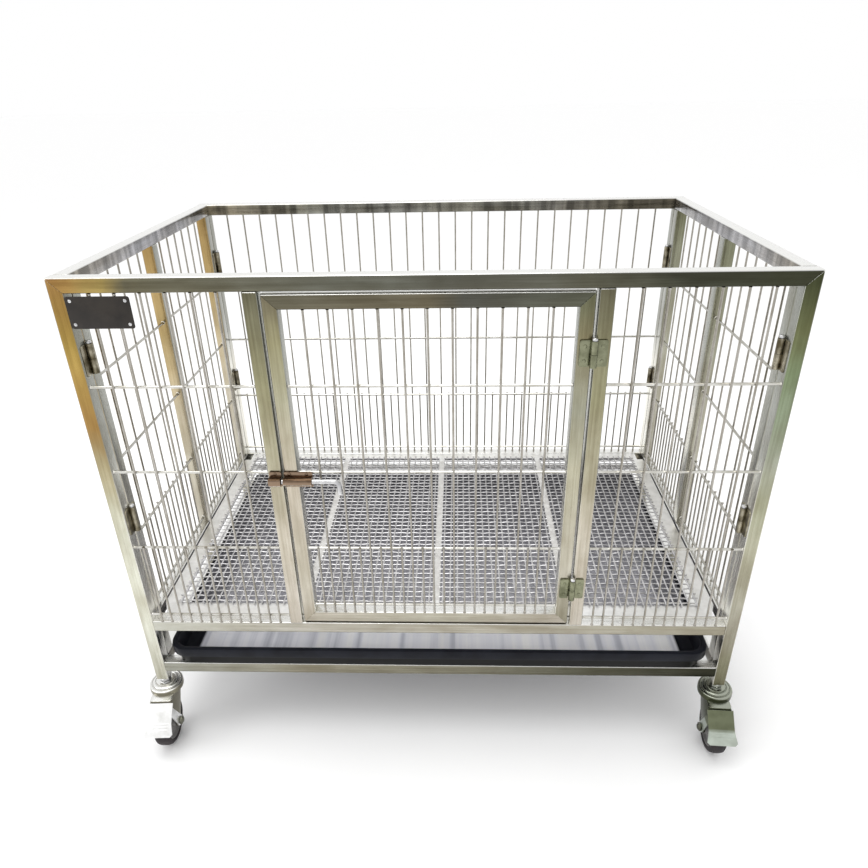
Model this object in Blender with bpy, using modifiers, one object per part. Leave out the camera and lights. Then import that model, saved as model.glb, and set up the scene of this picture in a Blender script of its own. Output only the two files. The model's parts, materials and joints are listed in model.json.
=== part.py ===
"""A folding pet cage: an open-topped pen of square steel tube and welded wire, with a hinged door,
a sliding latch, a lift-out woven floor grid, a slide-out tray and four braked swivel casters.

Metres. X runs to the right, Y to the rear and Z up. The origin is on the ground under the middle.
"""

import math

import bmesh
import bpy
import numpy as np
from mathutils import Matrix, Vector

SEAT_GAP = 0.0003

# The frame
WIDTH = 0.900
DEPTH = 0.550
HEIGHT = 0.761
TUBE = 0.019
TUBE_ROUND = 0.002
POST_FOOT = 0.112
TRAY_RAIL_TOP = 0.148
FLOOR_RAIL_TOP = 0.233

# The wires welded into each panel
UPRIGHT_RADIUS = 0.0015
ROW_RADIUS = 0.0020
WELD_DEPTH = 0.0006
UPRIGHT_PITCH = 0.0305
SIDE_PITCH = 0.0330
ROW_PITCH = 0.125
FIRST_ROW = 0.012

# The door and its two hinges
DOOR_OPENING = 0.400
DOOR_CLEARANCE = 0.003
DOOR_HINGE_INSETS = (0.0675, 0.0755)
DOOR_HINGE_HEIGHT = 0.034
DOOR_LEAF_WIDTH = 0.017

# Every hinge
LEAF_THICKNESS = 0.002
KNUCKLE_RADIUS = 0.0045
PIN_RADIUS = 0.002
PIN_HEAD_RADIUS = 0.0036
PIN_HEAD_HEIGHT = 0.004

# The loose-pin hinges that hold the side panels in the corners
CORNER_HINGE_DROPS = (0.351, 0.107)
CORNER_HINGE_HEIGHT = 0.040
CORNER_LEAF_WIDTH = 0.015

# The latch
LATCH_PLATE_HEIGHT = 0.023
LATCH_BARREL_RADIUS = 0.0058
BOLT_RADIUS = 0.0035
BOLT_THROW = 0.029
BOLT_BEND = 0.007
HANDLE_DROP = 0.020
GUIDE_LENGTH = 0.0385
KEEPER_LENGTH = 0.0165

# The name plate
NAME_PLATE_WIDTH = 0.078
NAME_PLATE_HEIGHT = 0.040
NAME_PLATE_THICKNESS = 0.0015
NAME_PLATE_ROUND = 0.003
NAME_PLATE_DROP = 0.003

# The lift-out floor
LEDGE_WIDTH = 0.014
LEDGE_THICKNESS = 0.003
LEDGE_TOP = 0.2295
FLOOR_SIDE_CLEARANCE = 0.003
FLOOR_END_CLEARANCE = 0.0015
FLOOR_NOTCH_X = 0.015
FLOOR_NOTCH_Y = 0.028
FLOOR_RIM_WIDTH = 0.025
FLOOR_RIM_THICKNESS = 0.003
FLOOR_BAR_WIDTH = 0.012
FLOOR_BAR_PLACES = (-0.204, 0.0, 0.204)
FLOOR_CROSS_BAR = 0.055
MESH_WIRE_RADIUS = 0.00135
MESH_WELD = 0.0004
MESH_LAP = 0.004
MESH_PITCH_X = 0.054
MESH_PITCH_Y = 0.052

# The slide-out tray
TRAY_SIDE_CLEARANCE = 0.0145
TRAY_OVERHANG = 0.007
TRAY_REAR = 0.007
TRAY_HEIGHT = 0.035
TRAY_LIP_HEIGHT = 0.015
TRAY_LIP_WIDTH = 0.006
TRAY_WALL = 0.0025
TRAY_ROUND = 0.028
TRAY_DRAFT = 0.001

# The casters
WHEEL_DIAMETER = 0.075
WHEEL_WIDTH = 0.023
WHEEL_STEPS = 18
HUB_RADIUS = 0.010
HUB_WIDTH = 0.029
AXLE_RADIUS = 0.004
NUT_RADIUS = 0.0068
NUT_HEIGHT = 0.0055
TRAIL = 0.026
HEADING = math.radians(-3)
HEAD_RADIUS = 0.026
HEAD_TOP = 0.1037
HEAD_HEIGHT = 0.013
CROWN_THICKNESS = 0.0035
LEG_THICKNESS = 0.0025
LEG_END_RADIUS = 0.009
STEM_RADIUS = 0.005
COLLAR_RADIUS = 0.0085
PEDAL_THICKNESS = 0.002
PEDAL_EAR_RADIUS = 0.0085
PEDAL_TOP = (0.014, 0.044)
PEDAL_TIP = (0.045, 0.013)
PEDAL_FLARE = 0.003

X_IN = WIDTH / 2 - TUBE
Y_IN = DEPTH / 2 - TUBE
DOOR_HALF = DOOR_OPENING / 2 - DOOR_CLEARANCE
DOOR_BOTTOM = FLOOR_RAIL_TOP + DOOR_CLEARANCE
DOOR_TOP = HEIGHT - TUBE - DOOR_CLEARANCE
DOOR_HINGE_CENTRES = (DOOR_BOTTOM + DOOR_HINGE_INSETS[0], DOOR_TOP - DOOR_HINGE_INSETS[1])
CORNER_HINGE_CENTRES = tuple(HEIGHT - drop for drop in CORNER_HINGE_DROPS)
LATCH_HEIGHT = (DOOR_BOTTOM + DOOR_TOP) / 2
AXLE_HEIGHT = WHEEL_DIAMETER / 2
FRONT_WIRE_PLANE = SEAT_GAP + UPRIGHT_RADIUS + ROW_RADIUS - WELD_DEPTH / 2 - DEPTH / 2

# Colour, roughness and metallic value of each finish
STAINLESS = ((0.62, 0.60, 0.55), 0.24, 1.0)
BRIGHT_WIRE = ((0.72, 0.72, 0.70), 0.20, 1.0)
FLOOR_STEEL = ((0.60, 0.60, 0.59), 0.32, 1.0)
DARK_STEEL = ((0.20, 0.18, 0.16), 0.38, 1.0)
ZINC = ((0.55, 0.55, 0.56), 0.30, 1.0)
TRAY_PLASTIC = ((0.045, 0.052, 0.070), 0.35, 0.0)
PLATE_BLACK = ((0.015, 0.015, 0.016), 0.30, 0.0)
TYRE_BLACK = ((0.020, 0.020, 0.021), 0.60, 0.0)


def clear_scene():
    for old in list(bpy.data.objects):
        bpy.data.objects.remove(old)


def new_object(name, mesh):
    made = bpy.data.objects.new(name, mesh)
    bpy.context.scene.collection.objects.link(made)
    return made


def from_bmesh(name, shape):
    bmesh.ops.recalc_face_normals(shape, faces=shape.faces)
    mesh = bpy.data.meshes.new(name)
    shape.to_mesh(mesh)
    shape.free()
    return new_object(name, mesh)


def baked(source):
    """The object as a plain welded mesh, with its curve or its modifiers made real."""
    bpy.context.view_layer.update()
    graph = bpy.context.evaluated_depsgraph_get()
    mesh = bpy.data.meshes.new_from_object(source.evaluated_get(graph))
    shape = bmesh.new()
    shape.from_mesh(mesh)
    bmesh.ops.remove_doubles(shape, verts=shape.verts, dist=1e-6)
    bmesh.ops.recalc_face_normals(shape, faces=shape.faces)
    shape.to_mesh(mesh)
    shape.free()
    made = new_object(source.name, mesh)
    made.matrix_world = source.matrix_world
    name = source.name
    bpy.data.objects.remove(source)
    made.name = name
    return made


def combined(base, other, operation):
    modifier = base.modifiers.new("join", "BOOLEAN")
    modifier.operation = operation
    modifier.object = other
    made = baked(base)
    bpy.data.objects.remove(other)
    return made


def fused(base, *others):
    for other in others:
        base = combined(base, other, "UNION")
    return base


def laid(made, matrix):
    """Moves a mesh by the matrix, which may mirror it."""
    made.data.transform(matrix)
    if matrix.determinant() < 0:
        made.data.flip_normals()
    return made


def axes(across, up, place=(0, 0, 0)):
    """A matrix that takes local X and Y to two world directions, and Z to their cross product."""
    x = Vector(across)
    y = Vector(up)
    turn = Matrix((x, y, x.cross(y))).transposed().to_4x4()
    return Matrix.Translation(place) @ turn


def box(name, low, high):
    shape = bmesh.new()
    centre = (Vector(low) + Vector(high)) / 2
    size = Vector(high) - Vector(low)
    matrix = Matrix.Translation(centre) @ Matrix.Diagonal((*size, 1))
    bmesh.ops.create_cube(shape, size=1, matrix=matrix)
    return from_bmesh(name, shape)


def square_tube(name, low, high):
    """A length of square tube between two corners, with its four long edges rounded."""
    made = box(name, low, high)
    size = Vector(high) - Vector(low)
    along = max(range(3), key=lambda i: size[i])
    shape = bmesh.new()
    shape.from_mesh(made.data)
    edges = [e for e in shape.edges if abs((e.verts[0].co - e.verts[1].co)[along]) > size[along] / 2]
    bmesh.ops.bevel(shape, geom=edges, offset=TUBE_ROUND, segments=2, profile=0.5, affect="EDGES")
    shape.to_mesh(made.data)
    shape.free()
    return made


def mitred(made, along, end, across, outer):
    """Slants one end of a tube at 45 degrees, so that it is longest at its outer face."""
    for vertex in made.data.vertices:
        if abs(vertex.co[along] - end) < 1e-6:
            vertex.co[along] -= math.copysign(abs(vertex.co[across] - outer), end)
    return made


def slab(name, outlines, thickness):
    """Flat outlines in local XY, the first the outside and the rest holes, as thick as given."""
    curve = bpy.data.curves.new(name, "CURVE")
    curve.dimensions = "2D"
    curve.fill_mode = "BOTH"
    curve.extrude = thickness / 2
    for outline in outlines:
        spline = curve.splines.new("POLY")
        spline.points.add(len(outline) - 1)
        for point, (x, y) in zip(spline.points, outline):
            point.co = (x, y, 0, 1)
        spline.use_cyclic_u = True
    return baked(new_object(name, curve))


def rectangle(x0, x1, y0, y1):
    return [(x0, y0), (x1, y0), (x1, y1), (x0, y1)]


def arc(centre, radius, start, end, steps):
    angles = np.linspace(start, end, steps + 1)
    return [(centre[0] + radius * math.cos(a), centre[1] + radius * math.sin(a)) for a in angles]


def circle(radius, steps, centre=(0, 0)):
    return arc(centre, radius, 0, 2 * math.pi, steps)[:-1]


def rounded_rectangle(x0, x1, y0, y1, radius, steps):
    corners = ((x1, y1, 0), (x0, y1, 1), (x0, y0, 2), (x1, y0, 3))
    points = []
    for x, y, quarter in corners:
        centre = (x - math.copysign(radius, x - x0 - 1e-9), y - math.copysign(radius, y - y0 - 1e-9))
        points += arc(centre, radius, quarter * math.pi / 2, (quarter + 1) * math.pi / 2, steps)
    return points


def turned(name, profile, steps):
    """A closed or axis-to-axis profile of (radius, height) points turned about local Z."""
    mesh = bpy.data.meshes.new(name)
    closed = min(radius for radius, _ in profile) > 0
    count = len(profile)
    edges = [(i, (i + 1) % count) for i in range(count if closed else count - 1)]
    mesh.from_pydata([(radius, 0, height) for radius, height in profile], edges, [])
    made = new_object(name, mesh)
    screw = made.modifiers.new("turn", "SCREW")
    screw.steps = steps
    screw.render_steps = steps
    screw.use_merge_vertices = True
    screw.merge_threshold = 0.00001
    return baked(made)


def add_rod(shape, start, end, radius, ridge, sides):
    """A straight rod, turned so that one of its long edges faces the ridge direction."""
    along = Vector(end) - Vector(start)
    matrix = axes(Vector(ridge).cross(along.normalized()), ridge, (Vector(start) + Vector(end)) / 2)
    bmesh.ops.create_cone(
        shape,
        cap_ends=True,
        segments=sides,
        radius1=radius,
        radius2=radius,
        depth=along.length,
        matrix=matrix,
    )


def rods(name, ends, radius, ridge, sides=6):
    shape = bmesh.new()
    for start, end in ends:
        add_rod(shape, start, end, radius, ridge, sides)
    return from_bmesh(name, shape)


def welded_frame(name, xs, ys, windows, thickness):
    """A flat frame of tubes in local XY, with the long edges rounded. xs and ys are the tubes'
    edges, and windows names the cells between them, by column and row, that stay open."""
    shape = bmesh.new()
    corners = [[shape.verts.new((x, y, -thickness / 2)) for y in ys] for x in xs]
    for i, j in ((i, j) for i in range(len(xs) - 1) for j in range(len(ys) - 1)):
        if (i, j) not in windows:
            shape.faces.new((corners[i][j], corners[i + 1][j], corners[i + 1][j + 1], corners[i][j + 1]))
    flat = list(shape.faces)
    raised = bmesh.ops.extrude_face_region(shape, geom=flat)["geom"]
    moved = [part for part in raised if isinstance(part, bmesh.types.BMVert)]
    bmesh.ops.translate(shape, verts=moved, vec=(0, 0, thickness))
    bmesh.ops.recalc_face_normals(shape, faces=shape.faces)
    shape.normal_update()
    rims = [
        edge
        for edge in shape.edges
        if abs(edge.verts[0].co.z - edge.verts[1].co.z) < thickness / 2
        and len(edge.link_faces) == 2
        and edge.calc_face_angle() > 1
    ]
    bmesh.ops.bevel(shape, geom=rims, offset=TUBE_ROUND, segments=2, profile=0.5, affect="EDGES")
    return from_bmesh(name, shape)


def spaced(low, high, pitch):
    """Places that divide the clear width into equal gaps of about the pitch."""
    gaps = max(1, round((high - low) / pitch))
    return [low + (high - low) * i / gaps for i in range(1, gaps)]


def halfway(low, high, pitch):
    """The middles of the gaps that spaced() leaves."""
    gaps = max(1, round((high - low) / pitch))
    return [low + (high - low) * (i + 0.5) / gaps for i in range(gaps)]


def rows_between(low, high):
    """The first row lies just above the rail. The others are level with those of every panel."""
    first = low + FIRST_ROW
    count = int((high - FLOOR_RAIL_TOP) / ROW_PITCH) + 1
    shared = [FLOOR_RAIL_TOP + FIRST_ROW + ROW_PITCH * i for i in range(count)]
    return [first] + [z for z in shared if first + ROW_PITCH / 2 < z < high - ROW_PITCH / 2]


def wire_panel(name, low, high, bottom, top, pitch, place):
    """Uprights on the outside, welded to rows on the inside. place(along, z, depth) is a point.
    Short uprights halve the lower gaps, and end on the second row."""
    low, high, bottom, top = low + SEAT_GAP, high - SEAT_GAP, bottom + SEAT_GAP, top - SEAT_GAP
    ridge = Vector(place(0, 0, 1)) - Vector(place(0, 0, 0))
    upright_depth = ROW_RADIUS - WELD_DEPTH / 2
    row_depth = WELD_DEPTH / 2 - UPRIGHT_RADIUS
    levels = rows_between(bottom, top)
    ends = [(a, top) for a in spaced(low, high, pitch)]
    ends += [(a, levels[1] + ROW_RADIUS) for a in halfway(low, high, pitch)]
    uprights = [(place(a, bottom, upright_depth), place(a, end, upright_depth)) for a, end in ends]
    rows = [(place(low, z, row_depth), place(high, z, row_depth)) for z in levels]
    return fused(
        rods(name, uprights, UPRIGHT_RADIUS, ridge),
        rods(name + "_rows", rows, ROW_RADIUS, ridge),
    )


def kept(made, finish, origin=None, parent=None):
    """Gives a finished piece its material, its origin and its parent."""
    colour, roughness, metallic = finish
    material = bpy.data.materials.new(made.name)
    material.use_nodes = True
    shader = material.node_tree.nodes["Principled BSDF"]
    shader.inputs["Base Color"].default_value = (*colour, 1)
    shader.inputs["Roughness"].default_value = roughness
    shader.inputs["Metallic"].default_value = metallic
    made.data.materials.clear()
    made.data.materials.append(material)
    made.data.shade_smooth()
    made.data.set_sharp_from_angle(angle=math.radians(35))
    if origin:
        made.data.transform(Matrix.Translation(-Vector(origin)))
        made.location = origin
    if parent:
        made.location = Vector(made.location) - parent.location
        made.parent = parent
    for collection in list(made.users_collection):
        collection.objects.unlink(made)
    PARTS.objects.link(made)
    return made


def joint_empty(name, place):
    empty = bpy.data.objects.new(name, None)
    empty.location = place
    empty.empty_display_size = 0.03
    PARTS.objects.link(empty)
    return empty


def hinge_leaf(name, centre, height, width, upper, matrix):
    """A leaf whose axis is local Y at the origin and whose plate lies toward +X. upper says which
    half of the barrel is its own, and a tongue joins the plate to that half."""
    low, high = centre - height / 2, centre + height / 2
    own_low, own_high = (centre + SEAT_GAP / 2, high) if upper else (low, centre - SEAT_GAP / 2)
    near = KNUCKLE_RADIUS + SEAT_GAP
    outline = [(width, low), (width, high)]
    if own_high < high:
        outline += [(near, high), (near, own_high)]
    outline += [(0, own_high), (0, own_low)]
    if own_low > low:
        outline += [(near, own_low), (near, low)]
    plate = slab(name, [outline], LEAF_THICKNESS)
    plate = laid(plate, Matrix.Translation((0, 0, KNUCKLE_RADIUS - LEAF_THICKNESS / 2)))
    bore = PIN_RADIUS + SEAT_GAP
    ring = slab("knuckle", [circle(KNUCKLE_RADIUS, 10), circle(bore, 8)], own_high - own_low)
    turn = axes((1, 0, 0), (0, 0, -1), (0, (own_low + own_high) / 2, 0))
    return laid(fused(plate, laid(ring, turn)), matrix)


def hinge_pin(name, centre, height, place):
    """A loose pin with a domed head above the barrel."""
    bottom = centre - height / 2
    head = centre + height / 2 + SEAT_GAP
    top = head + PIN_HEAD_HEIGHT
    profile = [
        (0, bottom),
        (PIN_RADIUS, bottom),
        (PIN_RADIUS, head),
        (PIN_HEAD_RADIUS, head),
        (PIN_HEAD_RADIUS, top - PIN_HEAD_RADIUS / 3),
        (PIN_HEAD_RADIUS * 0.6, top),
        (0, top),
    ]
    return laid(turned(name, profile, 8), Matrix.Translation((*place, 0)))


def end_panel_frame(end, rear):
    """The posts and rails of the front or rear panel. rear is -1 at the front and 1 at the rear."""
    y0, y1 = sorted((rear * DEPTH / 2, rear * Y_IN))
    for side, word in ((-1, "left"), (1, "right")):
        x0, x1 = sorted((side * WIDTH / 2, side * X_IN))
        top = HEIGHT - SEAT_GAP
        post = square_tube(f"{end}_post_{word}", (x0, y0, POST_FOOT), (x1, y1, top))
        mitred(post, 2, top, 0, side * WIDTH / 2)
        leaves = [corner_leaf(side, rear, i, False) for i in range(len(CORNER_HINGE_CENTRES))]
        kept(fused(post, *leaves), STAINLESS)
    for word, top, reach in (
        ("top", HEIGHT, WIDTH / 2),
        ("floor", FLOOR_RAIL_TOP, X_IN - SEAT_GAP),
        ("tray", TRAY_RAIL_TOP, X_IN - SEAT_GAP),
    ):
        rail = square_tube(f"{end}_{word}_rail", (-reach, y0, top - TUBE), (reach, y1, top))
        if word == "top":
            for side in (-1, 1):
                mitred(rail, 0, side * reach, 2, HEIGHT)
        if word == "floor":
            rail = fused(rail, ledge(rear))
        kept(rail, STAINLESS)


def ledge(rear):
    """The flat bar on the inside of a floor rail that carries the floor grid."""
    reach = X_IN - FLOOR_NOTCH_X - FLOOR_RIM_WIDTH
    y0, y1 = sorted((rear * (Y_IN + TUBE / 4), rear * (Y_IN - LEDGE_WIDTH)))
    return box("ledge", (-reach, y0, LEDGE_TOP - LEDGE_THICKNESS), (reach, y1, LEDGE_TOP))


def front_panel():
    """The front panel, with its wires flush with the outer faces of its tubes."""
    end_panel_frame("front", -1)
    inner = DOOR_OPENING / 2
    for side, word in ((-1, "left"), (1, "right")):
        x0, x1 = sorted((side * inner, side * (inner + TUBE)))
        low = (x0, -DEPTH / 2, FLOOR_RAIL_TOP + SEAT_GAP)
        high = (x1, -Y_IN, HEIGHT - TUBE - SEAT_GAP)
        kept(square_tube(f"door_post_{word}", low, high), STAINLESS)
        low, high = sorted((side * (inner + TUBE), side * X_IN))
        wires = wire_panel(
            f"front_wires_{word}",
            low,
            high,
            FLOOR_RAIL_TOP,
            HEIGHT - TUBE,
            UPRIGHT_PITCH,
            lambda a, z, depth: (a, FRONT_WIRE_PLANE - depth, z),
        )
        kept(wires, BRIGHT_WIRE)
    kept(name_plate(), PLATE_BLACK)


def name_plate():
    """A bare plate that lies on the uprights in the upper left corner, just under the top rail."""
    x0 = -X_IN + SEAT_GAP
    z1 = HEIGHT - TUBE - NAME_PLATE_DROP
    face = -DEPTH / 2
    outline = rounded_rectangle(
        x0, x0 + NAME_PLATE_WIDTH, z1 - NAME_PLATE_HEIGHT, z1, NAME_PLATE_ROUND, 3
    )
    plate = slab("name_plate", [outline], NAME_PLATE_THICKNESS)
    return laid(plate, axes((1, 0, 0), (0, 0, 1), (0, face - NAME_PLATE_THICKNESS / 2, 0)))


def rear_panel():
    end_panel_frame("rear", 1)
    middle = (DEPTH - TUBE) / 2
    wires = wire_panel(
        "rear_wires",
        -X_IN,
        X_IN,
        FLOOR_RAIL_TOP,
        HEIGHT - TUBE,
        UPRIGHT_PITCH,
        lambda a, z, depth: (a, middle + depth, z),
    )
    kept(wires, BRIGHT_WIRE)


def side_panel(side, word):
    """One rigid welded frame, with a middle post, and the wires in its two halves."""
    reach = Y_IN - SEAT_GAP
    lengths = (-reach, TUBE - reach, -TUBE / 2, TUBE / 2, reach - TUBE, reach)
    rails = (TRAY_RAIL_TOP, FLOOR_RAIL_TOP, HEIGHT)
    heights = [z for top in rails for z in (top - TUBE, top)]
    windows = ((1, 1), (3, 1), (1, 3), (3, 3))
    frame = welded_frame(f"side_frame_{word}", lengths, heights, windows, TUBE)
    middle = side * (WIDTH - TUBE) / 2
    frame = laid(frame, axes((0, 1, 0), (0, 0, 1), (middle, 0, 0)))
    leaves = [
        corner_leaf(side, rear, i, True) for rear in (-1, 1) for i in range(len(CORNER_HINGE_CENTRES))
    ]
    kept(fused(frame, *leaves), STAINLESS)
    for rear, end in ((-1, "front"), (1, "rear")):
        low, high = sorted((rear * TUBE / 2, rear * (reach - TUBE)))
        wires = wire_panel(
            f"side_wires_{word}_{end}",
            low,
            high,
            FLOOR_RAIL_TOP,
            HEIGHT - TUBE,
            SIDE_PITCH,
            lambda a, z, depth: (middle + side * depth, a, z),
        )
        kept(wires, BRIGHT_WIRE)


def corner_axis(side, rear):
    """Where a corner hinge's axis stands: on the seam, just inside the faces that carry it."""
    return side * (X_IN - KNUCKLE_RADIUS + LEAF_THICKNESS / 4), rear * (Y_IN - SEAT_GAP / 2)


def corner_leaf(side, rear, which, on_side_panel):
    """A leaf of a corner hinge, sunk a little way into the tube that it is welded to."""
    x, y = corner_axis(side, rear)
    toward = -rear if on_side_panel else rear
    turn = Matrix(((0, 0, side), (toward, 0, 0), (0, 1, 0))).to_4x4()
    return hinge_leaf(
        "corner_leaf",
        CORNER_HINGE_CENTRES[which],
        CORNER_HINGE_HEIGHT,
        CORNER_LEAF_WIDTH,
        on_side_panel,
        Matrix.Translation((x, y, 0)) @ turn,
    )


def corner_pins():
    for rear, end in ((-1, "front"), (1, "rear")):
        for side, word in ((-1, "left"), (1, "right")):
            for centre, level in zip(CORNER_HINGE_CENTRES, ("lower", "upper")):
                place = corner_axis(side, rear)
                pin = hinge_pin(f"corner_pin_{end}_{word}_{level}", centre, CORNER_HINGE_HEIGHT, place)
                kept(pin, ZINC, (*place, centre))


def door_axis():
    """The door's hinge axis: in front of the gap beside the right door post."""
    x = DOOR_OPENING / 2 - DOOR_CLEARANCE / 2
    return x, -DEPTH / 2 - SEAT_GAP - KNUCKLE_RADIUS


def door():
    x, y = door_axis()
    hinge = joint_empty("door_hinge_axis", (x, y, (DOOR_BOTTOM + DOOR_TOP) / 2))
    middle = -(DEPTH - TUBE) / 2
    inner = DOOR_HALF - TUBE
    widths = (-DOOR_HALF, -inner, inner, DOOR_HALF)
    heights = (DOOR_BOTTOM, DOOR_BOTTOM + TUBE, DOOR_TOP - TUBE, DOOR_TOP)
    frame = welded_frame("door_frame", widths, heights, ((1, 1),), TUBE)
    frame = laid(frame, axes((1, 0, 0), (0, 0, 1), (0, middle, 0)))
    kept(frame, STAINLESS, (x, y, DOOR_BOTTOM), hinge)
    wires = wire_panel(
        "door_wires",
        -inner,
        inner,
        DOOR_BOTTOM + TUBE,
        DOOR_TOP - TUBE,
        UPRIGHT_PITCH,
        lambda a, z, depth: (a, FRONT_WIRE_PLANE - depth, z),
    )
    kept(wires, BRIGHT_WIRE, (x, y, DOOR_BOTTOM), hinge)
    for centre, level in zip(DOOR_HINGE_CENTRES, ("lower", "upper")):
        for side, kind in ((-1, "door"), (1, "post")):
            turn = Matrix(((side, 0, 0), (0, 0, 1), (0, 1, 0))).to_4x4()
            made = hinge_leaf(
                f"door_hinge_{kind}_leaf_{level}",
                centre,
                DOOR_HINGE_HEIGHT,
                DOOR_LEAF_WIDTH,
                kind == "door",
                Matrix.Translation((x, y, 0)) @ turn,
            )
            kept(made, DARK_STEEL, (x, y, centre), hinge if kind == "door" else None)
        pin = hinge_pin(f"door_hinge_pin_{level}", centre, DOOR_HINGE_HEIGHT, (x, y))
        kept(pin, ZINC, (x, y, centre))
    latch(hinge)


def latch(hinge):
    """A round bolt in a guide on the door. It is drawn back here, clear of its keeper."""
    face = -DEPTH / 2 - SEAT_GAP
    bolt_y = face - LEAF_THICKNESS / 2 - LATCH_BARREL_RADIUS
    guide_left = -DOOR_HALF
    guide_right = guide_left + GUIDE_LENGTH
    keeper_right = -DOOR_OPENING / 2 - SEAT_GAP
    bore = BOLT_RADIUS + SEAT_GAP
    sleeve = [circle(LATCH_BARREL_RADIUS, 12), circle(bore, 10)]
    reach = LATCH_BARREL_RADIUS
    staple = [rectangle(-reach, reach, -reach, reach), rectangle(-bore, bore, -bore, bore)]
    for name, low, high, parent, outlines in (
        ("latch_guide", guide_left, guide_right, hinge, sleeve),
        ("latch_keeper", keeper_right - KEEPER_LENGTH, keeper_right, None, staple),
    ):
        made = latch_barrel(name, low, high, face, bolt_y, outlines)
        kept(made, DARK_STEEL, (low, bolt_y, LATCH_HEIGHT), parent)
    tip = keeper_right + SEAT_GAP
    bolt = bolt_with_handle(tip, guide_right + SEAT_GAP + BOLT_THROW + BOLT_BEND, bolt_y)
    kept(bolt, ZINC, (tip, bolt_y, LATCH_HEIGHT), hinge)


def latch_barrel(name, low, high, face, bolt_y, outlines):
    """A plate that lies on the tube, with a sleeve of the given outlines along its front."""
    half = LATCH_PLATE_HEIGHT / 2
    plate = box(
        name, (low, face - LEAF_THICKNESS, LATCH_HEIGHT - half), (high, face, LATCH_HEIGHT + half)
    )
    barrel = slab(name + "_barrel", outlines, high - low)
    middle = ((low + high) / 2, bolt_y, LATCH_HEIGHT)
    return fused(plate, laid(barrel, axes((0, 1, 0), (0, 0, 1), middle)))


def bolt_with_handle(tip, end, bolt_y):
    """A rod with its right end bent down for a handle, clear of the guide when the bolt is shot."""
    curve = bpy.data.curves.new("latch_bolt", "CURVE")
    curve.dimensions = "3D"
    curve.bevel_depth = BOLT_RADIUS
    curve.bevel_resolution = 1
    curve.use_fill_caps = True
    centre = (end - BOLT_BEND, LATCH_HEIGHT - BOLT_BEND)
    path = [(tip, LATCH_HEIGHT), *arc(centre, BOLT_BEND, math.pi / 2, 0, 3)]
    path.append((end, LATCH_HEIGHT - HANDLE_DROP))
    spline = curve.splines.new("POLY")
    spline.points.add(len(path) - 1)
    for point, (x, z) in zip(spline.points, path):
        point.co = (x, bolt_y, z, 1)
    return baked(new_object("latch_bolt", curve))


def floor_grid():
    """A woven mesh welded on a flat rim with three bars and a cross bar, loose on the ledges."""
    x1, y1 = X_IN - FLOOR_SIDE_CLEARANCE, Y_IN - FLOOR_END_CLEARANCE
    notch_x, notch_y = X_IN - FLOOR_NOTCH_X, Y_IN - FLOOR_NOTCH_Y
    outside = [(x1, -notch_y), (x1, notch_y), (notch_x, notch_y), (notch_x, y1)]
    outside += [(-x, y) for x, y in reversed(outside)]
    outside += [(x, -y) for x, y in reversed(outside) if y > notch_y]
    inner_x, inner_y = x1 - FLOOR_RIM_WIDTH, y1 - FLOOR_RIM_WIDTH
    half = FLOOR_BAR_WIDTH / 2
    x_edges = [-inner_x, *[p + s * half for p in FLOOR_BAR_PLACES for s in (-1, 1)], inner_x]
    cross = y1 - FLOOR_CROSS_BAR
    y_edges = [-inner_y, cross - half, cross + half, inner_y]
    windows = [
        rectangle(xa, xb, ya, yb)
        for xa, xb in zip(x_edges[::2], x_edges[1::2])
        for ya, yb in zip(y_edges[::2], y_edges[1::2])
    ]
    bottom = LEDGE_TOP + SEAT_GAP
    lift = (0, 0, bottom)
    rim = slab("floor_rim", [outside, *windows], FLOOR_RIM_THICKNESS)
    rim = laid(rim, Matrix.Translation((0, 0, bottom + FLOOR_RIM_THICKNESS / 2)))
    kept(rim, FLOOR_STEEL, lift)
    mesh_x, mesh_y = inner_x + MESH_LAP, inner_y + MESH_LAP
    lower = bottom + FLOOR_RIM_THICKNESS + SEAT_GAP + MESH_WIRE_RADIUS
    upper = lower + 2 * MESH_WIRE_RADIUS - MESH_WELD
    long_wires = [((-mesh_x, y, lower), (mesh_x, y, lower)) for y in spaced(-mesh_y, mesh_y, MESH_PITCH_Y)]
    cross_wires = [((x, -mesh_y, upper), (x, mesh_y, upper)) for x in spaced(-mesh_x, mesh_x, MESH_PITCH_X)]
    mesh = fused(
        rods("floor_mesh", long_wires, MESH_WIRE_RADIUS, (0, 0, 1)),
        rods("floor_mesh_cross", cross_wires, MESH_WIRE_RADIUS, (0, 0, 1)),
    )
    kept(mesh, FLOOR_STEEL, lift)


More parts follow.
